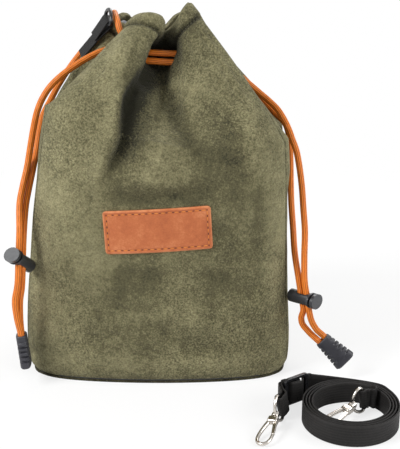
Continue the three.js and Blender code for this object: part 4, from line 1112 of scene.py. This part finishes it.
# Areas of the front where the nap lies lighter or darker, with painted shade in the valley and folds and painted
# light along the side edges: centre, reach and amount
napAndShading = [
    (-0.062, 0.16, 0.02, 0.045, 0.24), (-0.082, 0.09, 0.01, 0.08, 0.3), (-0.036, 0.215, 0.014, 0.022, 0.14),
    (-0.009, 0.209, 0.012, 0.011, -0.85), (-0.016, 0.198, 0.007, 0.014, -0.4),
    (-0.01, 0.186, 0.013, 0.016, -0.36), (-0.032, 0.158, 0.005, 0.012, -0.25),
    (0.046, 0.168, 0.014, 0.028, -0.28), (0.0125, 0.228, 0.0055, 0.013, -0.6),
    (0.02, 0.24, 0.008, 0.009, -0.22), (-0.0165, 0.226, 0.005, 0.012, -0.2),
    (-0.028, 0.226, 0.006, 0.02, 0.25), (0.02, 0.211, 0.007, 0.006, 0.22), (0.004, 0.16, 0.02, 0.01, 0.16),
    (0.01, 0.139, 0.045, 0.006, -0.26), (0.083, 0.095, 0.009, 0.085, 0.36),
    (0.068, 0.11, 0.005, 0.06, -0.12), (-0.007, 0.084, 0.014, 0.008, -0.16), (0, 0.05, 0.012, 0.008, -0.14),
    (0.034, 0.082, 0.032, 0.024, -0.1), (0, 0.016, 0.08, 0.007, 0.16), (0.06, 0.052, 0.012, 0.012, -0.16),
    (-0.03, 0.07, 0.012, 0.007, -0.16), (-0.048, 0.052, 0.01, 0.006, -0.16),
    (0.03, 0.03, 0.02, 0.005, -0.1),
]


def panelAt(u):
    # The panel at this turn round the pouch, and how far its nearer seam is
    turn = u % 4
    for node, panel in panels.items():
        start, end = panel["seams"]
        for shift in (0, 4):
            if start <= turn - shift <= end:
                return node, min(turn - shift - start, end - turn + shift)
    return "front_panel", 0


def bell(at, width):
    return math.exp(-((at / width) ** 2))


@functools.lru_cache(maxsize=None)
def foldAt(u, level):
    # How far the folds push the wall, and the painted shade and light there: darker in the folds, lighter on
    # raised folds, plus the front's nap and painted areas
    node, edge = panelAt(u)
    spot = wall(u, level)
    across, up = (spot.x if node in ("front_panel", "back_panel") else spot.y), spot.z
    push = 0
    for line, widthLeft, widthRight, depth in folds[node]:
        best, mark, side = 1e9, 0, 1
        for i, ((ax, ay), (bx, by)) in enumerate(zip(line, line[1:])):
            dx, dy = bx - ax, by - ay
            t = min(max(((across - ax) * dx + (up - ay) * dy) / (dx * dx + dy * dy), 0), 1)
            away = math.hypot(across - ax - t * dx, up - ay - t * dy)
            if away < best:
                best, mark = away, (i + t) / (len(line) - 1)
                side = dx * (up - ay) - dy * (across - ax)
        width = widthRight if side > 0 else widthLeft
        if best < 3 * width:
            fade = smoothstep(-0.02, 0.22, mark) * smoothstep(1, 0.72, mark)
            push += depth * fade * bell(best, width)
    fade = smoothstep(0, 0.07, edge) * smoothstep(2.0, 1.86, level) * smoothstep(0, 0.06, level)
    # Painted shade: the deeper a fold presses in, the darker its colour; raised folds are painted lighter
    shadingAndNap = push / walls["pushShading"]
    if node == "front_panel":
        for x, z, rx, rz, amount in napAndShading:
            shadingAndNap += amount * bell(across - x, rx) * bell(up - z, rz)
    return push * fade, shadingAndNap


def hemAt(level):
    # How far the hem stands out, with its stitches pressed in and its top edge rounded
    stand = walls["hem"] * smoothstep(rimHem, rimHem + 0.02, level)
    groove = walls["stitchGroove"] * bell(level - rimHem, 0.012)
    return stand - groove - walls["rimRound"] * smoothstep(1.978, 2, level) ** 2


def outerSurface(u, level):
    # The wall with its folds, small lumps, gathers below the hem, seams and hem, and its painted shade and light
    # together with the nap's tone
    spot = wall(u, level)
    edge = panelAt(u)[1]
    push, shadingAndNap = foldAt(u, level)
    lump = sum(noise.noise(spot * scale + Vector(shift)) * height for scale, shift, height in walls["lumps"])
    sway = 1.3 * noise.noise(Vector((u * 3, level * 1.3, 4)))
    gather = math.sin(2 * math.pi * (u * walls["gathers"] + sway)) * walls["gather"]
    gather *= smoothstep(1.2, 1.5, level) * smoothstep(1.9, 1.75, level)
    fade = smoothstep(0, 0.16, edge) * smoothstep(0, 0.06, level)
    seamDip = walls["seamDip"] * (1 - smoothstep(0, 0.016, edge))
    footDip = walls["footDip"] * (1 - smoothstep(0, 0.007, spot.z - pouch["foot"])) ** 2
    lift = push + (lump + gather) * fade * smoothstep(2.0, 1.9, level) - seamDip - footDip + hemAt(level)
    # Painted shade: darker in the folds, where lumps dip, in the seam dips and in the hem's stitch groove;
    # painted light where lumps rise. The colour is also lighter along the rim's rounded top
    shade = shadingAndNap + lump / walls["lumpShading"] * fade - 0.25 * (1 - smoothstep(0, 0.02, edge))
    shade += 0.18 * smoothstep(1.94, 1.99, level) - 0.8 * bell(level - rimHem, 0.011)
    return spot + outward(u, level) * lift, shade


def innerSurface(u, level, depth):
    return wall(u, level) + outward(u, level) * (foldAt(u, level)[0] - depth)


def levelAt(t):
    # More than half of the rows below the shoulder, and close ones at the hem
    for start, end, low, high in ((0, 0.56, 0, 1), (0.56, 0.86, 1, 1.88), (0.86, 1, 1.88, 2)):
        if t <= end:
            return low + (high - low) * (t - start) / (end - start)
    return 2


def addWall(node, fineness):
    panel = panels[node]
    start, end = panel["seams"]
    reach = end - start - 2 * walls["seamGap"]

    def at(s, t):
        return round(start + walls["seamGap"] + reach * s, 6), round(levelAt(t), 6)

    def inside(s, t):
        u, level = at(s, t)
        return innerSurface(u, level, innerDepth(level))

    bm = bmesh.new()
    columns, rows = int(panel["columns"] * fineness), int(walls["rows"] * fineness)
    shellOf(bm, columns, rows, lambda s, t: outerSurface(*at(s, t))[0], inside,
            lambda s, t: outerSurface(*at(s, t))[1])
    piece = finished(node + "_padded", bm, "pouch", finishes["suede"], 70)
    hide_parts(node, panel["foam"])


for node in panels:
    addWall(node, 1)
print("walls padded")


base = {"inset": 0.0016, "thick": 0.0018, "segments": 160}


def addBase():
    bm = bmesh.new()
    loop = bmesh.ops.create_circle(bm, cap_ends=True, radius=1, segments=base["segments"])["verts"]
    for vert in loop:
        u = math.atan2(vert.co.y, vert.co.x) / (math.pi / 2) + 2.5
        spot = under(u % 4, 0, base["inset"])
        vert.co = (spot.x, spot.y, 0)
    grown = bmesh.ops.extrude_face_region(bm, geom=list(bm.faces))["geom"]
    raised = [g for g in grown if isinstance(g, bmesh.types.BMVert)]
    bmesh.ops.translate(bm, verts=raised, vec=(0, 0, base["thick"]))
    bmesh.ops.recalc_face_normals(bm, faces=bm.faces)
    piece = finished("base_panel_cloth", bm, "pouch", finishes["shadedBaseSuede"], 50)
    softEdges(piece, 0.0005, 3)
    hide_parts("base_panel")


lining = {
    "foot": 0.017, "top": 1.955, "thick": 0.0007, "lowDepth": 0.0062, "neckDepth": 0.0031, "ripple": 0.0004,
}


def addLining():
    # An open cup from its own floor to just below the rim
    bm = bmesh.new()

    def place(s, t):
        level = round(lining["foot"] + (lining["top"] - lining["foot"]) * t, 6)
        depth = hermite(0.92, 1.12, lining["lowDepth"], lining["neckDepth"], 0, 0, level)
        u = round(4 * s, 6)
        return innerSurface(u, level, depth + lining["ripple"] * (1 + noise.noise(wall(u, level) * 45)))

    rims = rimEdges(mended(bm, sheetOf(bm, 200, 90, place)))
    low = [edge for edge in rims if max(v.co.z for v in edge.verts) < 0.02]
    bmesh.ops.holes_fill(bm, edges=low, sides=0)
    bmesh.ops.recalc_face_normals(bm, faces=bm.faces)
    piece = finished("lining_cup", bm, "pouch", finishes["lining"], 60)
    cloth = piece.modifiers.new("cloth", "SOLIDIFY")
    cloth.thickness = lining["thick"]
    cloth.offset = 0
    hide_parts("lining")


addBase()
addLining()
print("base and lining made")

patch = {
    "wide": 0.0725, "tall": 0.03, "thick": 0.0018, "gap": 0.0003, "centre": (-0.0003, 0.1172), "turn": 0.058,
    "corner": 0.0025, "inset": 0.0025, "groove": 0.0003, "grooveWidth": 0.0007, "roundEdge": 0.0007,
    "grain": 0.0001, "pitch": 0.0044, "stitch": (0.00145, 0.00036, 0.00032), "hole": (0.00085, 0.00042, 0.00012),
    "stitchSunk": 0.00024, "holeSunk": 0.00022, "aheadSunk": 0.0002,
}


def frontFace(x, z):
    half = along(pouch["leftEdge" if x < 0 else "rightEdge"], z)
    across, share = x / half / seamShare, abs(x / half)
    bulge = along(pouch["frontSwell"], z) * (1 - across**2)
    return -pouch["halfDepth"] * (1 - share ** pouch["cornerPower"]) ** (1 / pouch["cornerPower"]) - bulge


def onPatch(x, z, depth):
    turn = patch["turn"]
    px = patch["centre"][0] + x * math.cos(turn) - z * math.sin(turn)
    pz = patch["centre"][1] + x * math.sin(turn) + z * math.cos(turn)
    return Vector((px, frontFace(px, pz) - patch["gap"] - depth, pz))


def addStitch(bm, at, shape, around, rings):
    # A small rounded bead, stretched along the seam
    stretched = at @ Matrix.Diagonal((*shape, 1))
    bmesh.ops.create_uvsphere(bm, u_segments=around, v_segments=rings, radius=1, matrix=stretched)


def addPatch():
    def inPlan(s, t):
        z = (2 * t - 1) * patch["tall"] / 2
        into = max(abs(z) - (patch["tall"] / 2 - patch["corner"]), 0)
        half = patch["wide"] / 2 - patch["corner"] + math.sqrt(max(patch["corner"] ** 2 - into**2, 0))
        return (2 * s - 1) * half, z

    def border(s, t):
        x, z = inPlan(s, t)
        return min(patch["wide"] / 2 - abs(x), patch["tall"] / 2 - abs(z))

    def groove(s, t):
        return bell(border(s, t) - patch["inset"], patch["grooveWidth"])

    def face(s, t):
        x, z = inPlan(s, t)
        edge = patch["roundEdge"] * (1 - smoothstep(0, 0.0012, border(s, t))) ** 2
        grain = patch["grain"] * noise.noise(Vector((x * 90, z * 90, 2)))
        return onPatch(x, z, patch["thick"] - patch["groove"] * groove(s, t) - edge + grain)

    # Painted highlight along the patch's rounded edge and painted shade in its inset groove
    def shadingAndNap(s, t):
        return 0.34 * (1 - smoothstep(0.0002, 0.0011, border(s, t))) - 0.14 * groove(s, t)

    bm = bmesh.new()
    shellOf(bm, 180, 78, face, lambda s, t: onPatch(*inPlan(s, t), 0), shadingAndNap)
    piece = finished("leather_patch_hide", bm, "pouch", finishes["leather"], 60)
    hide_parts("leather_patch")

    # Thread beads, and dark beads that stand for the shade in the stitch holes
    thread, holeShades = bmesh.new(), bmesh.new()
    marks = ((thread, patch["stitchSunk"], patch["stitch"]), (holeShades, patch["holeSunk"], patch["hole"]))
    wide, tall = patch["wide"] / 2 - patch["inset"], patch["tall"] / 2 - patch["inset"]
    corners = [(-wide, tall), (wide, tall), (wide, -tall), (-wide, -tall), (-wide, tall)]
    step = 0.001
    for (ax, az), (bx, bz) in zip(corners, corners[1:]):
        long = math.hypot(bx - ax, bz - az)
        dx, dz = (bx - ax) / long, (bz - az) / long
        count = round(long / patch["pitch"])
        for i in range(2 * count):
            part, sunk, shape = marks[i % 2]
            reach = long * (i + 1) / (2 * count)
            x, z = ax + dx * reach, az + dz * reach
            spot = onPatch(x, z, patch["thick"] - sunk)
            ahead = onPatch(x + dx * step, z + dz * step, patch["thick"] - patch["aheadSunk"]) - spot
            addStitch(part, frameAt(spot, ahead, Vector((0, -1, 0))), shape, 10, 6)
    finished("patch_stitches", thread, "pouch", finishes["thread"])
    finished("patch_stitch_hole_shade", holeShades, "pouch", finishes["hole"])


addPatch()


rimStitch = {"shape": (0.001, 0.0003, 0.00028), "pitch": 0.0027, "step": 0.008, "seamClear": 0.03}


def addRimStitches():
    bm = bmesh.new()
    step, clear = rimStitch["step"], rimStitch["seamClear"]
    for panel in panels.values():
        start, end = panel["seams"]
        u = start + clear
        while u < end - clear:
            spot = outerSurface(u, rimHem)[0]
            ahead = outerSurface(u + step, rimHem)[0] - spot
            addStitch(bm, frameAt(spot, ahead, outward(u, rimHem)), rimStitch["shape"], 6, 4)
            u += step * rimStitch["pitch"] / max(ahead.length, 1e-4)
    finished("rim_stitches", bm, "pouch", finishes["oliveThread"])


addRimStitches()
print("patch and stitches made")

# CAD nodes that stay
kept = {"base_board": "board", "left_lock_spring": "spring", "right_lock_spring": "spring"}
for node, finish in kept.items():
    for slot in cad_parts[node].material_slots:
        slot.material = finishes[finish]


# Floor and studio light

studio = {
    "floor": (0.86, 0.86, 0.86, 1), "floorReach": 6, "floorRoughness": 0.8, "floorGloss": 0.1,
    "world": 0.4, "mirrored": 0.6, "glowNear": 0.22, "glowFar": 0.5, "leastGlow": 0.72,
    "lamps": [  # name, place, aim, size, power
        ("key", (-1.1, -0.62, 1.1), (0.0, 0.0, 0.12), 0.7, 23),
        ("fill", (1.15, -0.45, 0.75), (0.02, 0.0, 0.1), 0.8, 11),
        ("rear", (0.2, 1.0, 1.1), (0.0, 0.0, 0.12), 0.8, 8),
    ],
}


def addWorld():
    world = bpy.data.worlds.new("studio")
    bpy.context.scene.world = world
    world.use_nodes = True
    tree = world.node_tree
    glow = tree.nodes["Background"].inputs
    glow["Color"].default_value = (1, 1, 1, 1)
    path = tree.nodes.new("ShaderNodeLightPath").outputs
    mirrored = reckon(tree, "MULTIPLY", path["Is Glossy Ray"], studio["mirrored"])
    through = reckon(tree, "MAXIMUM", mirrored, path["Is Transmission Ray"])
    seen = reckon(tree, "MAXIMUM", path["Is Camera Ray"], through)
    tree.links.new(spread(tree, seen, 0, 1, studio["world"], 1), glow["Strength"])


def addLamp(name, place, aim, size, power):
    data = bpy.data.lights.new(name, "AREA")
    data.shape = "DISK"
    data.size = size
    data.energy = power
    lamp = bpy.data.objects.new(name, data)
    lamp.location = place
    lamp.rotation_euler = (Vector(aim) - Vector(place)).to_track_quat("-Z", "Y").to_euler()
    bpy.context.scene.collection.objects.link(lamp)


def addFloor():
    # Pale floor that keeps the shadow and glows to white away from the bag
    bm = bmesh.new()
    bmesh.ops.create_grid(bm, x_segments=1, y_segments=1, size=studio["floorReach"])
    mesh = bpy.data.meshes.new("floor")
    bm.to_mesh(mesh)
    bm.free()
    floor = bpy.data.objects.new("floor", mesh)
    bpy.context.scene.collection.objects.link(floor)
    finish = bpy.data.materials.new("floor")
    finish.use_nodes = True
    tree = finish.node_tree
    shader = tree.nodes["Principled BSDF"]
    shader.inputs["Base Color"].default_value = studio["floor"]
    shader.inputs["Roughness"].default_value = studio["floorRoughness"]
    shader.inputs["Specular IOR Level"].default_value = studio["floorGloss"]
    glow = joined(tree, "ShaderNodeEmission", {"Color": (1, 1, 1, 1), "Strength": 1.0}).outputs[0]
    path = tree.nodes.new("ShaderNodeLightPath").outputs
    place = surfaceOf(tree, "Position")
    away = joined(tree, "ShaderNodeVectorMath", {0: place}, operation="LENGTH").outputs["Value"]
    white = spread(tree, away, studio["glowNear"], studio["glowFar"], studio["leastGlow"], 1.0)
    share = reckon(tree, "MULTIPLY", path["Is Camera Ray"], white)
    mixed = joined(tree, "ShaderNodeMixShader", {0: share, 1: shader.outputs[0], 2: glow}).outputs[0]
    tree.links.new(mixed, tree.nodes["Material Output"].inputs["Surface"])
    mesh.materials.append(finish)


addWorld()
for lamp in studio["lamps"]:
    addLamp(*lamp)
addFloor()
bpy.context.scene.view_settings.view_transform = "Standard"
print("studio lit")
